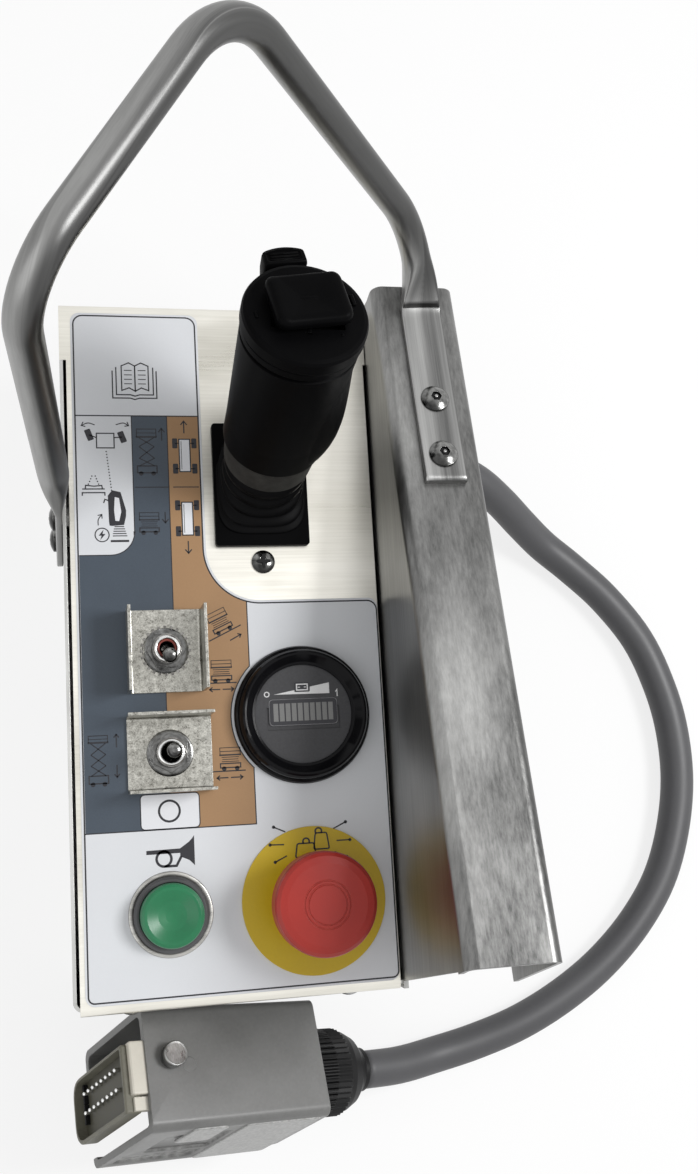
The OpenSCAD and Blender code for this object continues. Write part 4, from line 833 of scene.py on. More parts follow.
def ribbed_boot():
    """Rubber boot between the flange and the collar."""
    steps = BOOT_RIBS * BOOT_RIB_STEPS
    waves = [abs(math.sin(math.pi * i * BOOT_RIBS / steps + math.pi / 2)) ** 3 for i in range(steps + 1)]
    outer = [boot_ring(i / steps, -RIB_DEPTH * wave) for i, wave in enumerate(waves)]
    inner = [boot_ring(i / BOOT_INNER_STEPS, -BOOT_WALL) for i in range(BOOT_INNER_STEPS, -1, -1)]
    made = placed("ribbed_boot", lofted("boot", outer + inner, loop=True), None, "boot rubber")
    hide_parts("joystick_boot")
    top = grip_base @ lean_turn @ Vector((0, 0, BEND_HIGH)) * MM
    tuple(top[:])
    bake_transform(made)


# Screw sockets, in millimetres. The last two are the heights of a socket's floor and of the screw's head
# over the part's face.
SOCKET_R = 2.1
SOCKET_LIFT = 0.35
SOCKET_SIDES = 48
SCREW_ROW = 33.7
HANDLE_SCREW = (1.5, 2.9)
JOYSTICK_SCREW = (1.9, 2.2)


def star_socket(name, place, facing, floor_h, head_h, lobes=6, swing=0.16):
    """Star-shaped socket with its centre pin, or a cross recess of four lobes, in the head of a screw. The
    socket is a black plate: painted shade in the recess.
    """
    frame_at = Matrix.Scale(MM, 4) @ Matrix.Translation(place) @ turned_to(facing)
    star = []
    for k in range(SOCKET_SIDES):
        a = math.tau * k / SOCKET_SIDES
        r = SOCKET_R * (1 + swing * math.cos(lobes * a))
        star.append((r * math.cos(a), r * math.sin(a)))
    rings = [[frame_at @ Vector((x, y, z)) for x, y in star] for z in (floor_h, floor_h + SOCKET_LIFT)]
    # Black socket plate: painted shade inside the screw head.
    placed(name + "_socket", lofted("socket", rings, smooth=False), "box", "gland black")
    if lobes == 6:
        pin = [[frame_at @ Vector((x, y, z)) for x, y in circle(r, 16)]
               for r, z in ((0.75, floor_h), (0.75, head_h - 0.25), (0.5, head_h - 0.05))]
        placed(name + "_pin", lofted("pin", pin), "box", "zinc screw")


def sockets():
    """Star sockets of the handle screws, and cross recesses of two joystick screws."""
    for i in (0, 1):
        star_socket("hook_screw_%d" % i, hook_screw(i), HOOK_FACING, *HANDLE_SCREW)
        z = SIDE_LOW + SCREW_IN + i * SIDE_PITCH
        place = Vector((SIDE_X - TAB_T / 2, side_y(z), z))
        star_socket("side_screw_%d" % i, place, Vector((-1, 0, 0)), *HANDLE_SCREW)
        place = Vector((joystick_at.x / MM, joystick_at.y / MM + (2 * i - 1) * SCREW_ROW, panel_z / MM))
        star_socket("joystick_screw_%d" % i, place, Vector((0, 0, 1)), *JOYSTICK_SCREW, lobes=4, swing=0.55)


# Connector pieces, in the hood's own frame in millimetres: X from the mouth, Y across, Z out of the top face
HOOD_AT = (-37.9, -194.2, 104.6)
HOOD_TURN = (-25.06, 19.56, -5.29)
hood_turn = Euler([math.radians(a) for a in HOOD_TURN]).to_matrix().to_4x4()
hood_place = Matrix.Scale(MM, 4) @ Matrix.Translation(HOOD_AT) @ hood_turn
SHARP_TURN = 25
PIN_ROWS, PINS_IN_ROW = (21, 29), 8
PIN_FIRST, PIN_ROW_LENGTH = -18, 36
HOOD_DEPTH, HOOD_MIDDLE = 66, 24.75
NUT_X, NUT_R, NUT_TEETH = 91, 18.9, 88
NUT_TOOTH = (0.9, 0.55, 15)
PEG_X, PEG_Y, PEG_SUNK = 10.8, 28.1, 0.5
PEG_RINGS = ((4.3, 0), (4.3, 2.2), (5.1, 2.6), (5.1, 6.2), (4.8, 6.6), (4.3, 6.6), (4.2, 6.35))


def crosswise(outline, x):
    """Ring of an outline in Y and Z at a distance from the mouth."""
    return [hood_place @ Vector((x, y, z)) for y, z in outline]


def upright(outline, z):
    """Ring of an outline in X and Y at a height."""
    return [hood_place @ Vector((x, y, z)) for x, y in outline]


def in_hood(name, finish_name, stations):
    """Piece lofted along X from pairs of an outline and an X."""
    mesh = lofted(name, [crosswise(outline, x) for outline, x in stations], smooth=False)
    return placed(name, mesh, "box", finish_name)


def insert_outline(inset):
    """Outline of the insert, with large corners away from the hood's top face."""
    y0, y1, z0, z1 = 8.5 + inset, 35.5 - inset, -61 + inset, -4 - inset
    return soft_corners([(y0, z0), (y1, z0), (y1, z1), (y0, z1)], (8, 8, 1.2, 1.2), 6)


def insert():
    """Insert with a sunk pin field painted darker as shade, its raised block, walls and strip."""
    shell = in_hood("insert_shell", "insert olive", [
        (insert_outline(0), -2.5), (insert_outline(0), -8.4), (insert_outline(0.5), -9),
        (insert_outline(1.4), -9), (insert_outline(1.6), -4.2)])
    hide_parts("connector_insert")
    block = box_points(22, -56, 34, -5)
    in_hood("insert_body", "insert olive", [(block, x) for x in (-3.4, 30)])
    low, high = [soft_corners(box_points(15 + i, -7, 36 - i, -1.2 - i), 0.8, 3) for i in (0, 0.5)]
    in_hood("insert_block", "contact cream", [(high, -6.4), (low, -5.8), (low, 18)])
    strip = box_points(9, -6, 14.2, -2.6)
    in_hood("insert_strip", "contact cream", [(strip, x) for x in (-5.6, 18)])
    # Pin field in darker olive: painted shade at the bottom of the recess.
    in_hood("pin_field", "insert olive painted shade", [(insert_outline(1.2), x) for x in (-3.6, -4.6)])
    for k in (0, 1):
        wall = box_points(16.4 + k * 8.3, -55.5, 24.4 + k * 8.3, -54.2)
        in_hood("pin_wall_%d" % k, "gland black", [(wall, x) for x in (-4, -6.6)])


def contact_pins():
    """Two rows of pins with rounded ends, as one mesh."""
    pins = []
    for y in PIN_ROWS:
        for k in range(PINS_IN_ROW):
            z = PIN_FIRST - k * PIN_ROW_LENGTH / (PINS_IN_ROW - 1)
            pins.append(([crosswise(moved(circle(r, 12), y, z), x) for r, x in
                          ((0.95, -4), (0.95, -6.4), (0.75, -7), (0.3, -7.2))], False))
    made = placed("pins", lofted_many("pins", pins), "box", "pin silver")
    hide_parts("contact_pins")


def locking_pegs():
    """Headed peg on each narrow side of the hood, a little sunk in it."""
    for side, low, way in ((0, -PEG_SUNK, 1), (1, PEG_SUNK - HOOD_DEPTH, -1)):
        rings = [upright(moved(circle(r, 48), PEG_X, PEG_Y), low + way * h) for r, h in PEG_RINGS]
        placed("peg_%d" % side, lofted("peg", rings[::way]), "box", "peg disc")
    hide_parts("locking_pegs")


def cut_hood():
    """Hood with an open notch in the wall away from the top face, and plugs in the CAD hood's peg bores."""
    source = nodes["connector_hood"]
    made = bpy.data.objects.new("hood", source.data.copy())
    made.data.transform(source.matrix_world)
    scene.collection.objects.link(made)
    notch = soft_corners(box_points(-4, 4.5, 27, 34), 3, 4)
    cut_ends = (-HOOD_DEPTH - 6, -HOOD_DEPTH + 6)
    mesh = lofted("cutter", [upright(notch, z) for z in cut_ends], smooth=False)
    cutter = bpy.data.objects.new("cutter", mesh)
    scene.collection.objects.link(cutter)
    cut = made.modifiers.new("notch", "BOOLEAN")
    cut.object, cut.operation, cut.solver = cutter, "DIFFERENCE", "EXACT"
    bpy.context.view_layer.update()
    ready = made.evaluated_get(bpy.context.evaluated_depsgraph_get())
    mesh = bpy.data.meshes.new_from_object(ready)
    bpy.data.objects.remove(made)
    bpy.data.objects.remove(cutter)
    for face in mesh.polygons:
        face.use_smooth = True
    mesh.set_sharp_from_angle(angle=math.radians(SHARP_TURN))
    hood = placed("hood_notched", mesh, "box", "hood paint")
    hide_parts("connector_hood")
    plug_r, plug_x, proud, thick = 3.1, 19, 0.02, 2.5
    plug = moved(circle(plug_r, 36), plug_x, HOOD_MIDDLE)
    for side, z0, z1 in ((0, proud - thick, proud), (1, -HOOD_DEPTH - proud, thick - HOOD_DEPTH - proud)):
        mesh = lofted("plug", [upright(plug, z) for z in (z0, z1)], smooth=False)
        placed("hood_plug_%d" % side, mesh, "box", "hood paint")


def side_panels():
    """Cast panels on the hood's long side, with a rib left between them."""
    for name, x0, x1, z0, z1 in (("panel_long", 43.5, 79, -62, -4), ("panel_short", 19, 35, -25, -3)):
        rings = []
        for inset, y in ((0, 0.6), (0, -0.35), (0.5, -0.55)):
            outline = soft_corners(box_points(x0 + inset, z0 + inset, x1 - inset, z1 - inset), 2, 3)
            rings.append([hood_place @ Vector((x, y, z)) for x, z in outline])
        placed(name, lofted(name, rings), "box", "hood cast")


# Rings and rows of teeth
TUBE_SIDES = 64


def geometry_mesh(name, build, body, finish_name):
    """Plain mesh that a Geometry Nodes tree makes, riding on a body."""
    tree = bpy.data.node_groups.new(name, "GeometryNodeTree")
    tree.interface.new_socket("Geometry", in_out="OUTPUT", socket_type="NodeSocketGeometry")
    sink = tree.nodes.new("NodeGroupOutput")
    real = add_node(tree, "GeometryNodeRealizeInstances", {"Geometry": build(tree)})
    dressed = add_node(tree, "GeometryNodeSetMaterial", {"Geometry": real.outputs[0]})
    dressed.inputs["Material"].default_value = FINISHES[finish_name]
    tree.links.new(dressed.outputs[0], sink.inputs[0])
    holder = bpy.data.objects.new(name + "_source", bpy.data.meshes.new(name + "_source"))
    scene.collection.objects.link(holder)
    holder.modifiers.new("nodes", "NODES").node_group = tree
    bpy.context.view_layer.update()
    ready = holder.evaluated_get(bpy.context.evaluated_depsgraph_get())
    mesh = bpy.data.meshes.new_from_object(ready)
    bpy.data.objects.remove(holder)
    return placed(name, mesh, body, finish_name)


def toothed(place, radius, count, tooth):
    """Tree that sets small blocks around a ring. place is a matrix, lengths in metres."""
    def build(tree):
        ring = add_node(tree, "GeometryNodeMeshCircle", {"Vertices": count, "Radius": radius})
        block = add_node(tree, "GeometryNodeMeshCube", {"Size": tooth})
        spot = add_node(tree, "GeometryNodeInputPosition")
        turn = add_node(tree, "FunctionNodeAlignRotationToVector", {"Vector": spot.outputs[0]}, axis="X")
        many = add_node(tree, "GeometryNodeInstanceOnPoints", {
            "Points": ring.outputs[0], "Instance": block.outputs["Mesh"], "Rotation": turn.outputs[0]})
        real = add_node(tree, "GeometryNodeRealizeInstances", {"Geometry": many.outputs[0]})
        return add_node(tree, "GeometryNodeTransform", {
            "Geometry": real.outputs[0], "Translation": place.translation,
            "Rotation": place.to_euler()}).outputs[0]
    return build


def tube(name, place, section, finish_name):
    """Turned ring from a closed section of radius and height, in millimetres, riding on the case."""
    rings = [[place @ Vector((x * MM, y * MM, h * MM)) for x, y in circle(r, TUBE_SIDES)]
             for r, h in section]
    return placed(name, lofted(name, rings, loop=True), "box", finish_name)


def switch_rings():
    """Lock washers under the toggle nuts, teeth of the upper one, and rims and bore of the bushings."""
    for part in ("upper", "lower"):
        spot, top = middle(part + "_bushing"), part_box(part + "_nut")[0].z
        place = Matrix.Translation((spot.x, spot.y, top - 0.25 * MM))
        tube(part + "_washer", place, [(6.4, 0), (9.3, 0), (9.6, 0.35), (9.3, 0.6), (6.4, 0.6)],
             "dark chrome")
        if part == "upper":
            washer_middle = place @ Matrix.Translation((0, 0, 0.3 * MM))
            teeth = toothed(washer_middle, 9.9 * MM, 24, (1.3 * MM, 1.1 * MM, 0.55 * MM))
            geometry_mesh("washer_teeth", teeth, "box", "nickel")
        place = Matrix.Translation((spot.x, spot.y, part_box(part + "_bushing")[1].z))
        tube(part + "_rim", place, [(4.0, -0.4), (5.5, -0.4), (5.5, 0.1), (5.0, 0.4), (4.4, 0.4), (4.0, 0.1)],
             "pin silver")
    lever, bore = middle("upper_bushing"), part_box("upper_bushing")[1].z
    tube("upper_bore", Matrix.Translation((lever.x, lever.y, bore)),
         [(3.1, -1.6), (4.1, -1.6), (4.1, -0.5), (3.1, -0.5)], "switch red")


def small_rings():
    """Brushed ring of the horn button, rims of the hook screws, and knurl of the hood's gland nut."""
    tube("horn_ring", Matrix.Translation((horn_at.x, horn_at.y, film_z)),
         [(14.6, 0), (17, 0), (17, 0.4), (16.7, 0.6), (14.6, 0.6)], "brushed ring")
    for i in (0, 1):
        place = Matrix.Translation(hook_screw(i) * MM) @ turned_to(HOOK_FACING)
        tube("screw_rim_%d" % i, place, [(4.6, 0), (6.1, 0), (6.1, 0.5), (5.6, 1.0), (4.6, 1.1)],
             "dark chrome")
    nut = (hood_place @ Matrix.Translation((NUT_X, HOOD_MIDDLE, -HOOD_DEPTH / 2))
           @ Matrix.Rotation(math.radians(90), 4, "Y"))
    nut = Matrix.Translation(nut.translation) @ nut.to_euler().to_matrix().to_4x4()
    knurl = toothed(nut, NUT_R * MM, NUT_TEETH, [size * MM for size in NUT_TOOTH])
    geometry_mesh("nut_knurl", knurl, "box", "gland black")


# The camera, the shaped pieces, the finishes of the CAD nodes, the rings, and a last pass over the cable's
# line that keeps nothing
camera_for_photo()
cable = supply_cable()
carry_handle()
ribbed_boot()
thumb_rocker()
trigger_tab()
palm_swell()
cap_marks()
sockets()
insert()
contact_pins()
locking_pegs()
side_panels()
cut_hood()
for finish_name, wearers in NODE_FINISH.items():
    for wearer in wearers:
        paint(nodes[wearer], finish_name)
switch_rings()
small_rings()
declare_cable()


# Printed panel art, drawn as thin closed plates. Points are in millimetres on the panel, from the lower left
# corner of the printed border. LEVELS are the heights of the inks over the film.
ART_LEFT = cover_low.x / MM + 6
ART_LOW = cover_low.y / MM + 5
LINE_W = 0.5
ARROW_SPREAD = 0.8
ARROW_STEPS = 5
WHEEL_R = 0.95
WHEEL_IN = 1.5
PLATE_FOOT = -0.05
LEVELS = {"blue field": 0.02, "orange field": 0.025, "white cell": 0.04, "dark ink": 0.06,
          "gauge window": 0.05, "gauge bars": 0.12, "gauge marks": 0.05}
STOP_STEP = (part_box("stop_disc")[1].z - film_z) / MM
GAUGE_STEP = (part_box("gauge_face")[1].z - film_z) / MM
art = {ink: [] for ink in LEVELS}


def fill(ink, outline, level=0.0):
    """Adds a flat plate with this outline. level is a further height."""
    area = sum(a[0] * b[1] - b[0] * a[1] for a, b in zip(outline, outline[1:] + outline[:1]))
    ring = outline if area > 0 else outline[::-1]
    art[ink].append(([plan_ring(ring, z) for z in (PLATE_FOOT, LEVELS[ink] + level)], False))


def draw(points, width=LINE_W, loop=False, ink="dark ink", level=0.0):
    """Adds a line of even width through points, with mitred corners."""
    p = [Vector(q) for q in points]
    ends = [p[-1], *p, p[0]] if loop else [2 * p[0] - p[1], *p, 2 * p[-1] - p[-2]]
    top = LEVELS[ink] + level
    rings = []
    for a, b, c in zip(ends, ends[1:], ends[2:]):
        before, after = (b - a).normalized(), (c - b).normalized()
        side = (before + after).normalized().orthogonal()
        half = width / 2 / max(0.4, side.dot(before.orthogonal()))
        left, right = b + side * half, b - side * half
        rings.append([(*left, top), (*right, top), (*right, PLATE_FOOT), (*left, PLATE_FOOT)])
    art[ink].append((rings, loop))


def arrow_head(tip, back, size, width):
    """Open head of an arrow. back is the direction from its tip."""
    side = back.orthogonal() * ARROW_SPREAD
    draw([(tip + (back + side) * size)[:], tip[:], (tip + (back - side) * size)[:]], width)


def arrow(start, end, head=1.7):
    """Straight arrow with an open head."""
    draw([start, end])
    arrow_head(Vector(end), (Vector(start) - Vector(end)).normalized(), head, LINE_W)


def curved_arrow(points, head=1.4, width=0.4):
    """Arrow along a soft line through points."""
    line = [v.xy[:] for v in smooth_line([(*q, 0) for q in points], ARROW_STEPS)]
    draw(line, width)
    arrow_head(Vector(line[-1]), (Vector(line[-2]) - Vector(line[-1])).normalized(), head, width)


def wheel(x, y, w, l, turn=0.0):
    """Wheel seen from above."""
    fill("dark ink", moved(soft_corners(box_points(-w / 2, -l / 2, w / 2, l / 2), 0.4, 2), x, y, turn))


def chassis(x0, y0, x1, y1, axles, reach):
    """Lift seen from above: body, axles and four wheels."""
    wheel_w, wheel_l, inset = 2.2, 4.4, 0.9
    for y in axles:
        draw([(x0 - reach, y), (x1 + reach, y)], 0.4)
        wheel(x0 - reach, y, wheel_w, wheel_l)
        wheel(x1 + reach, y, wheel_w, wheel_l)
    fill("white cell", box_points(x0, y0, x1, y1), 0.03)
    draw(box_points(x0, y0, x1, y1), 0.5, True, level=0.02)
    draw([(x0 + inset, y0 + inset), (x0 + inset, y1 - inset)], 0.25, level=0.02)


def scissor_lift(x0, x1, platform, crossings, base):
    """Raised lift seen from the side: railed platform, crossed arms, base and wheels."""
    low, high = platform
    draw([(x0, low), (x0, high), (x1, high), (x1, low)], 0.35)
    draw([(x0, (low + high) / 2), (x1, (low + high) / 2)], 0.25)
    draw([(x0 - 0.3, low), (x1 + 0.3, low)], 0.7)
    left, right = x0 + 0.9, x1 - 0.9
    heights = [low - 0.3, *crossings, base[1]]
    for top, bottom in zip(heights, heights[1:]):
        draw([(left, top), (right, bottom)], 0.4)
        draw([(right, top), (left, bottom)], 0.4)
    draw(box_points(x0, base[0] + 0.6, x1, base[1]), 0.5, True)
    for x in (x0 + WHEEL_IN, x1 - WHEEL_IN):
        fill("dark ink", circle(WHEEL_R, 12, x, base[0] + 0.3))


def stowed_lift(x0, x1, low, high, turn=0.0):
    """Lowered lift seen from the side: railed platform over the folded stack, base and wheels."""
    w, rail = x1 - x0, high - low
    lines = [([(0, 0), (0, rail), (w, rail), (w, 0)], 0.3), ([(0, rail / 2), (w, rail / 2)], 0.3),
             ([(-0.3, 0), (w + 0.3, 0)], 0.6)]
    lines += [([(inset, y), (w - inset, y)], 0.3) for inset, y in ((0.6, -0.9), (0.9, -1.8), (0.6, -2.7))]
    for line, width in lines:
        draw(moved(line, x0, low, turn), width)
    draw(moved(box_points(0, -5.2, w, -3.5), x0, low, turn), 0.5, True)
    for x in (WHEEL_IN, w - WHEEL_IN):
        fill("dark ink", moved(circle(WHEEL_R, 12, x, -5.6), x0, low, turn))


def fields():
    """Border, coloured fields and the lines between them."""
    notch = arc(76, 182, 24, -90, -180, 24)
    low_left, low_right = arc(2.5, 2.5, 2.5, 180, 270, 6), arc(123.5, 2.5, 2.5, 270, 360, 6)
    wide_corner, high_right = arc(122, 154, 4, 0, 90, 6), arc(48, 281, 4, 0, 90, 6)
    high_left = arc(4, 281, 4, 90, 180, 6)
    draw(low_left + low_right + wide_corner + notch + high_right + high_left, 0.6, True)
    field_low, field_top, step_y = 65.7, 240.2, 145
    field_left, step_x, blue_right, orange_right = 0.4, 34.3, 38.5, 69.5
    cell = [(23.5, field_top), (23.5, 189.7), *arc(13.5, 189.7, 10, 0, -90, 8), (field_left, 179.7)]
    fill("blue field", [(field_left, field_low), (step_x, field_low), (step_x, step_y), (blue_right, step_y),
                        (blue_right, field_top), *cell])
    edge = [(orange_right, field_low), (orange_right, 88.7), *arc(91, 110, 30.2, 224.7, 135.3, 16),
            (orange_right, 131.3), (orange_right, 158.9)]
    side = [*arc(76, 182, 24, -105.7, -180, 14), (52, field_top)]
    fill("orange field", [(step_x, field_low), *edge, *side, (blue_right, field_top), (blue_right, step_y),
                          (step_x, step_y)])
    draw([(0, 240.3), (52, 240.3)], 0.5)
    draw(cell, 0.4)
    draw([(blue_right, field_top), (blue_right, step_y), (step_x, step_y), (step_x, 80.2)], 0.4)
    draw([(0, field_low), *edge], 0.45)
    horn_cell = soft_corners(box_points(22.4, 65.9, 46.3, 80), 2)
    fill("white cell", horn_cell)
    draw(horn_cell, 0.45, True)
    draw(circle(4.2, 36, 34, 73), 0.9, True)


def open_book():
    """Open book: two covers, and two pages with lines of text."""
    middle_x = 25.6
    for x0, x1, low, high in ((16, 34.7, 248.2, 260.4), (17.6, 33.3, 249.7, 262)):
        mid = (x0 + x1) / 2
        draw([(x0, high), (x0, low), (mid - 2, low), (mid, low - 0.6), (mid + 2, low), (x1, low), (x1, high)])
    for sign in (-1, 1):
        near, far = middle_x + sign * 2.6, middle_x + sign * 5.7
        draw([(middle_x, 251.3), (near, 252.8), (far, 251.6), (far, 262.6), (near, 264), (middle_x, 262.6)],
             loop=True)
        for y in (254.6, 256.6, 258.6, 260.6):
            draw([(middle_x + sign * 1.3, y), (middle_x + sign * 4.6, y)], 0.35)


def dotted(start, end, count):
    """Row of dots from one point to another."""
    for k in range(count):
        x, y = (Vector(start) + (Vector(end) - Vector(start)) * k / (count - 1))[:]
        fill("dark ink", circle(0.32, 6, x, y))


def steering():
    """Steered lift from above, with the thumb rocker and the joystick that steer and drive it."""
    draw(box_points(8.7, 226.1, 16, 232.5), 0.5, True)
    draw([(5.6, 231.8), (8.7, 230.6)], 0.45)
    draw([(16, 230.6), (19.4, 230.9)], 0.45)
    wheel(5.6, 231.8, 2.6, 5, 20)
    wheel(19.4, 230.9, 2.6, 5, 20)
    curved_arrow([(8.1, 236.2), (5.3, 237), (2.5, 235.9)])
    curved_arrow([(16.9, 236.3), (20, 237.1), (22.3, 235.9)])
    dotted((12.6, 224.5), (14.4, 207.6), 14)
    dotted((6.4, 213.8), (4.9, 210.3), 4)
    dotted((7.8, 213.8), (9.1, 210.3), 4)
    draw([(2.3, 208.2), (11.6, 208.2)])
    draw([(2.3, 205.3), (2.3, 206.6), (11.6, 206.6), (11.6, 205.3)])
    draw([(3.6, 208.4), (3.7, 209.8), (7.2, 209.4), (10.4, 209.7), (10.6, 208.4)])
    fill("dark ink", [(12.8, 205.3), (14.6, 207.6), (18.1, 206.8), (20.2, 198.9), (20.1, 196.3),
                      (19.2, 192.6), (14.2, 192.2), (13.2, 192.4), (13, 194.3)])
    fill("white cell", [(15.6, 204.7), (17.4, 204.2), (18.2, 198.3), (17.2, 194.2), (15.6, 194.4),
                        (15.2, 199)], 0.03)
    draw([(11, 202.1), (11.5, 203.7), (13, 203.2)])
    for k, (a, b) in enumerate(((15.2, 19.2), (14.9, 19.5), (14.7, 19.8), (14.5, 20.1), (14.4, 20.4))):
        draw([(a, 191.9 - k), (b, 191.9 - k)], 0.4)
    draw([(13.5, 185.7), (21.1, 185.7)], 0.9)
    draw(circle(2.9, 24, 10, 188.4), 0.45, True)
    fill("dark ink", [(10.6, 190.6), (8.6, 188.1), (9.8, 188.1), (9.2, 186.2), (11.4, 188.8), (10.2, 188.8)])
    curved_arrow([(8.5, 192.5), (8.6, 195), (10.1, 197.2)])


def lift_signs():
    """Lift, drive and slope signs in the fields."""
    scissor_lift(25.5, 33.7, (231, 234.5), (226.7, 221.6), (214.6, 218.2))
    arrow((36.1, 229.4), (36.1, 234.8))
    stowed_lift(25.7, 33.8, 194.7, 197.8)
    arrow((36.5, 198), (36.5, 193.3))
    draw([(24.3, 208.9), (38.3, 208.9)], 0.4)
    arrow((45.7, 232.7), (45.7, 238.1))
    chassis(43.4, 215.7, 48, 230, (228.2, 217), 1.8)
    draw([(40.3, 208.9), (51.2, 208.9)], 0.4)
    chassis(43.6, 187.9, 48.2, 202.2, (200.9, 189.6), 1.7)
    arrow((45.8, 185.3), (45.8, 180))
    stowed_lift(53.3, 61.7, 149.9, 153.3, 25)
    draw([(53, 142.2), (66.6, 148.8)])
    arrow((61.8, 142.3), (66.5, 144.8), 1.2)
    for x0, low, left, right, y in ((53.4, 131, 50.6, 63.8, 121.8), (55.6, 94.5, 52.2, 66, 85.2)):
        stowed_lift(x0, x0 + 8.4, low, low + 3)
        draw([(left, y + 2.7), (right, y + 2.7)])
        mid = (left + right) / 2
        arrow((mid - 0.4, y), (left + 1.8, y), 1.2)
        arrow((mid + 0.6, y), (right - 1.3, y), 1.2)
    scissor_lift(2.3, 10, (102, 104.8), (97.1, 92.6), (84.9, 88.6))
    arrow((13.5, 99.8), (13.5, 105.1), 1.3)
    arrow((13.5, 92.7), (13.5, 87.7), 1.3)


def horn_sign():
    """Horn with its coiled tube, mirrored in its cell."""
    def flipped(points):
        return [(67.8 - x, y) for x, y in points]

    fill("dark ink", flipped([(24.2, 50.7), (25, 51.6), (26.4, 53), (30, 54.6), (30, 56), (43.6, 56),
                              (43.6, 57.6), (30, 57.8), (26.4, 60.2), (25, 61.6), (24.2, 62.7)]))
    draw(flipped(moved(circle(3, 24), 36.6, 54)), 1.0, True)
    draw(flipped([(36.6, 51.0), (31.6, 51.0), (29.6, 54.6)]), 1.0)


def weight_sign():
    """Two kettle weights on the stop button's disc, with dashes that point at them."""
    for x0, x1, low, high, cx in ((85, 93.8, 51, 56.6, 89.7), (92.8, 99.4, 53.9, 60.5, 95.1)):
        weight = soft_corners([(x0, low), (x1, low), (x1 - 0.9, high), (x0 + 0.9, high)], 0.8, 3)
        draw(weight, 0.6, True, level=STOP_STEP)
        draw(arc(cx, high + 0.7, 1.35, -40, 220, 14), 0.7, level=STOP_STEP)
    dashes = (((76.5, 63.9), (81.3, 61.7)), ((74.6, 56.8), (80.4, 56.6)), ((76.4, 49.7), (81.4, 52)),
              ((107, 64.3), (101.6, 61.8)), ((108.3, 56.9), (102.6, 56.9)), ((106.6, 50.1), (101.5, 52.4)))
    for outer, inner in dashes:
        level = 0.0 if outer[1] > 60 else STOP_STEP
        draw([outer, inner], 0.55, level=level)
        fill("dark ink", arc(*outer, 0.7, 0, 320, 8), level)


def gauge_print():
    """Window with ten bars, rising wedge, battery sign and the digits 0 and 1 on the gauge."""
    x, y = (gauge_at.x / MM - ART_LEFT, gauge_at.y / MM - ART_LOW)
    left, right, low, high = x - 12.7, x + 12.8, y - 2.9, y + 4.6
    for ink, grow, lift in (("gauge window", 1.75, 0), ("dark ink", 1.55, 0.05)):
        window = box_points(left - grow, low - grow, right + grow, high + grow)
        fill(ink, soft_corners(window, 1.7), GAUGE_STEP + lift)
    for k in range(10):
        start = left + k * 2.6
        fill("gauge bars", box_points(start, low, start + 2.05, high), GAUGE_STEP)
    fill("gauge marks", [(x - 12.4, y + 8.4), (x + 11.6, y + 12.8), (x + 11.6, y + 8.2)], GAUGE_STEP)
    battery = soft_corners(box_points(x - 3.4, y + 9.2, x + 3.2, y + 13.2), 0.5, 2)
    fill("dark ink", battery, GAUGE_STEP + 0.1)
    battery_level = GAUGE_STEP + 0.14
    draw(box_points(x - 2.4, y + 10, x + 2.2, y + 12.4), 0.5, True, "gauge marks", battery_level)
    for cx in (x - 1.4, x + 1.2):
        draw([(cx - 0.5, y + 11.2), (cx + 0.5, y + 11.2)], 0.35, False, "gauge marks", battery_level)
    draw(circle(1, 18, x - 15.2, y + 8.6), 0.45, True, "gauge marks", GAUGE_STEP)
    one = [(x + 14.2, y + 8.8), (x + 14.9, y + 9.6), (x + 14.9, y + 6.8)]
    draw(one, 0.45, False, "gauge marks", GAUGE_STEP)


def on_panel(rings):
    """Rings of the art, placed on the panel's film."""
    return [[((ART_LEFT + x) * MM, (ART_LOW + y) * MM, film_z + z * MM) for x, y, z in r] for r in rings]


fields()
open_book()
steering()
lift_signs()
horn_sign()
weight_sign()
gauge_print()
for ink, shapes in art.items():
    mesh = lofted_many(ink, [(on_panel(rings), loop) for rings, loop in shapes], smooth=False)
    printed = placed("print_" + ink.replace(" ", "_"), mesh, "box", ink)
    if ink == "gauge bars":
        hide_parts("gauge_lens")


# Floor, world and lamps
FLOOR_SIZE = 4.0
FLOOR_GREY, FLOOR_ROUGHNESS = 0.86, 0.9
BACKGROUND_SHARE = 0.80
WORLD_LEVEL = 0.55


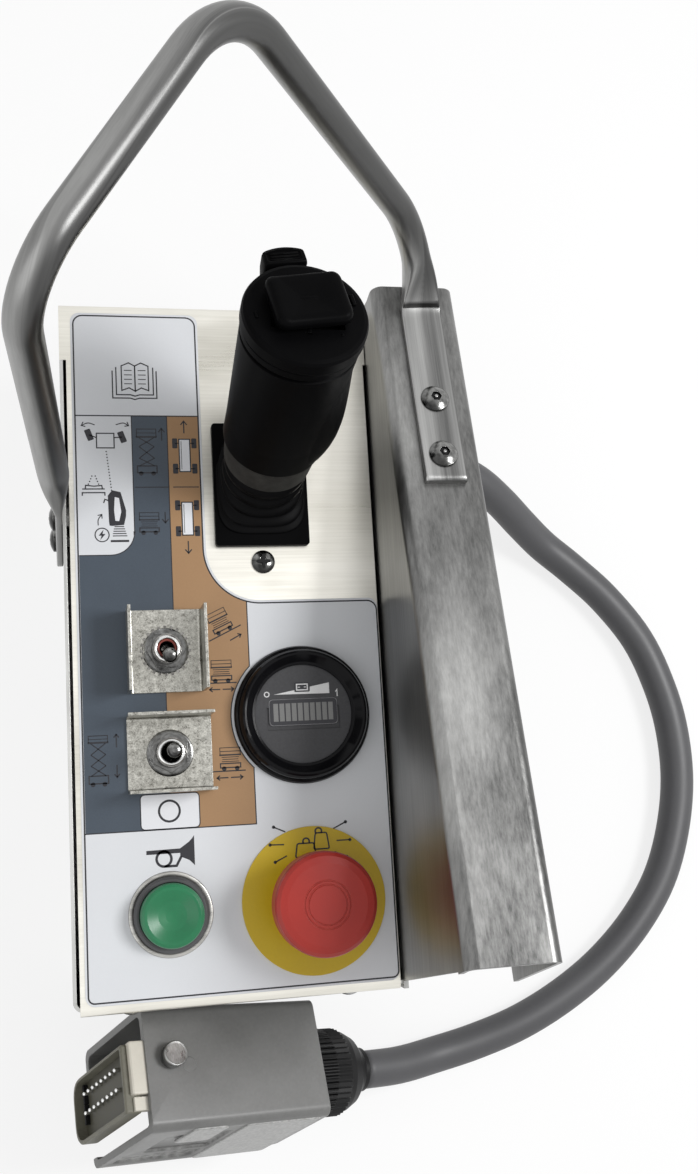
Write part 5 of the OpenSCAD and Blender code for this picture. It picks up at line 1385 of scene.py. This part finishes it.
def seen_directly(tree):
    """One where a camera, mirror or glass ray sees the background."""
    path = add_node(tree, "ShaderNodeLightPath")
    camera_or_gloss = worked(tree, "MAXIMUM", path.outputs["Is Camera Ray"], path.outputs["Is Glossy Ray"])
    return worked(tree, "MAXIMUM", camera_or_gloss, path.outputs["Is Transmission Ray"])


def stage_floor():
    """Pale floor that shows white to the camera and keeps the object's shadow."""
    half = FLOOR_SIZE / 2
    sheet = bpy.data.meshes.new("floor")
    sheet.from_pydata(plan_ring(box_points(-half, -half, half, half), 0), [], [(0, 1, 2, 3)])
    made = bpy.data.objects.new("floor", sheet)
    scene.collection.objects.link(made)
    paper = bpy.data.materials.new("floor paper")
    paper.use_nodes = True
    tree = paper.node_tree
    shader = tree.nodes["Principled BSDF"]
    shader.inputs["Base Color"].default_value = (FLOOR_GREY, FLOOR_GREY, FLOOR_GREY, 1)
    shader.inputs["Roughness"].default_value = FLOOR_ROUGHNESS
    glow = add_node(tree, "ShaderNodeEmission", {"Color": (1, 1, 1, 1), "Strength": 1.0})
    share = worked(tree, "MULTIPLY", seen_directly(tree), BACKGROUND_SHARE)
    blend = add_node(tree, "ShaderNodeMixShader", {0: share, 1: shader.outputs[0], 2: glow.outputs[0]})
    tree.links.new(blend.outputs[0], tree.nodes["Material Output"].inputs["Surface"])
    sheet.materials.append(paper)


def stage_world():
    """Even white surroundings, dimmer as light than as background."""
    world = bpy.data.worlds.new("studio")
    scene.world = world
    world.use_nodes = True
    tree = world.node_tree
    back = tree.nodes["Background"]
    back.inputs["Color"].default_value = (1, 1, 1, 1)
    level = sharpened(tree, seen_directly(tree), 0.0, 1.0, WORLD_LEVEL, 1.0)
    tree.links.new(level, back.inputs["Strength"])


def lamp(name, place, aim, size, power):
    """Square soft lamp at place, aimed at a point."""
    made = bpy.data.objects.new(name, bpy.data.lights.new(name, "AREA"))
    scene.collection.objects.link(made)
    made.data.size = size
    made.data.energy = power
    made.location = place
    made.rotation_euler = (Vector(aim) - Vector(place)).to_track_quat("-Z", "Y").to_euler()


stage_floor()
stage_world()
lamp("key lamp", place=(0.62, 0.05, 0.85), aim=(0.02, 0.0, 0.08), size=0.30, power=6.5)
lamp("fill lamp", place=(-0.75, -0.35, 0.8), aim=(0.0, 0.0, 0.08), size=0.9, power=2.0)
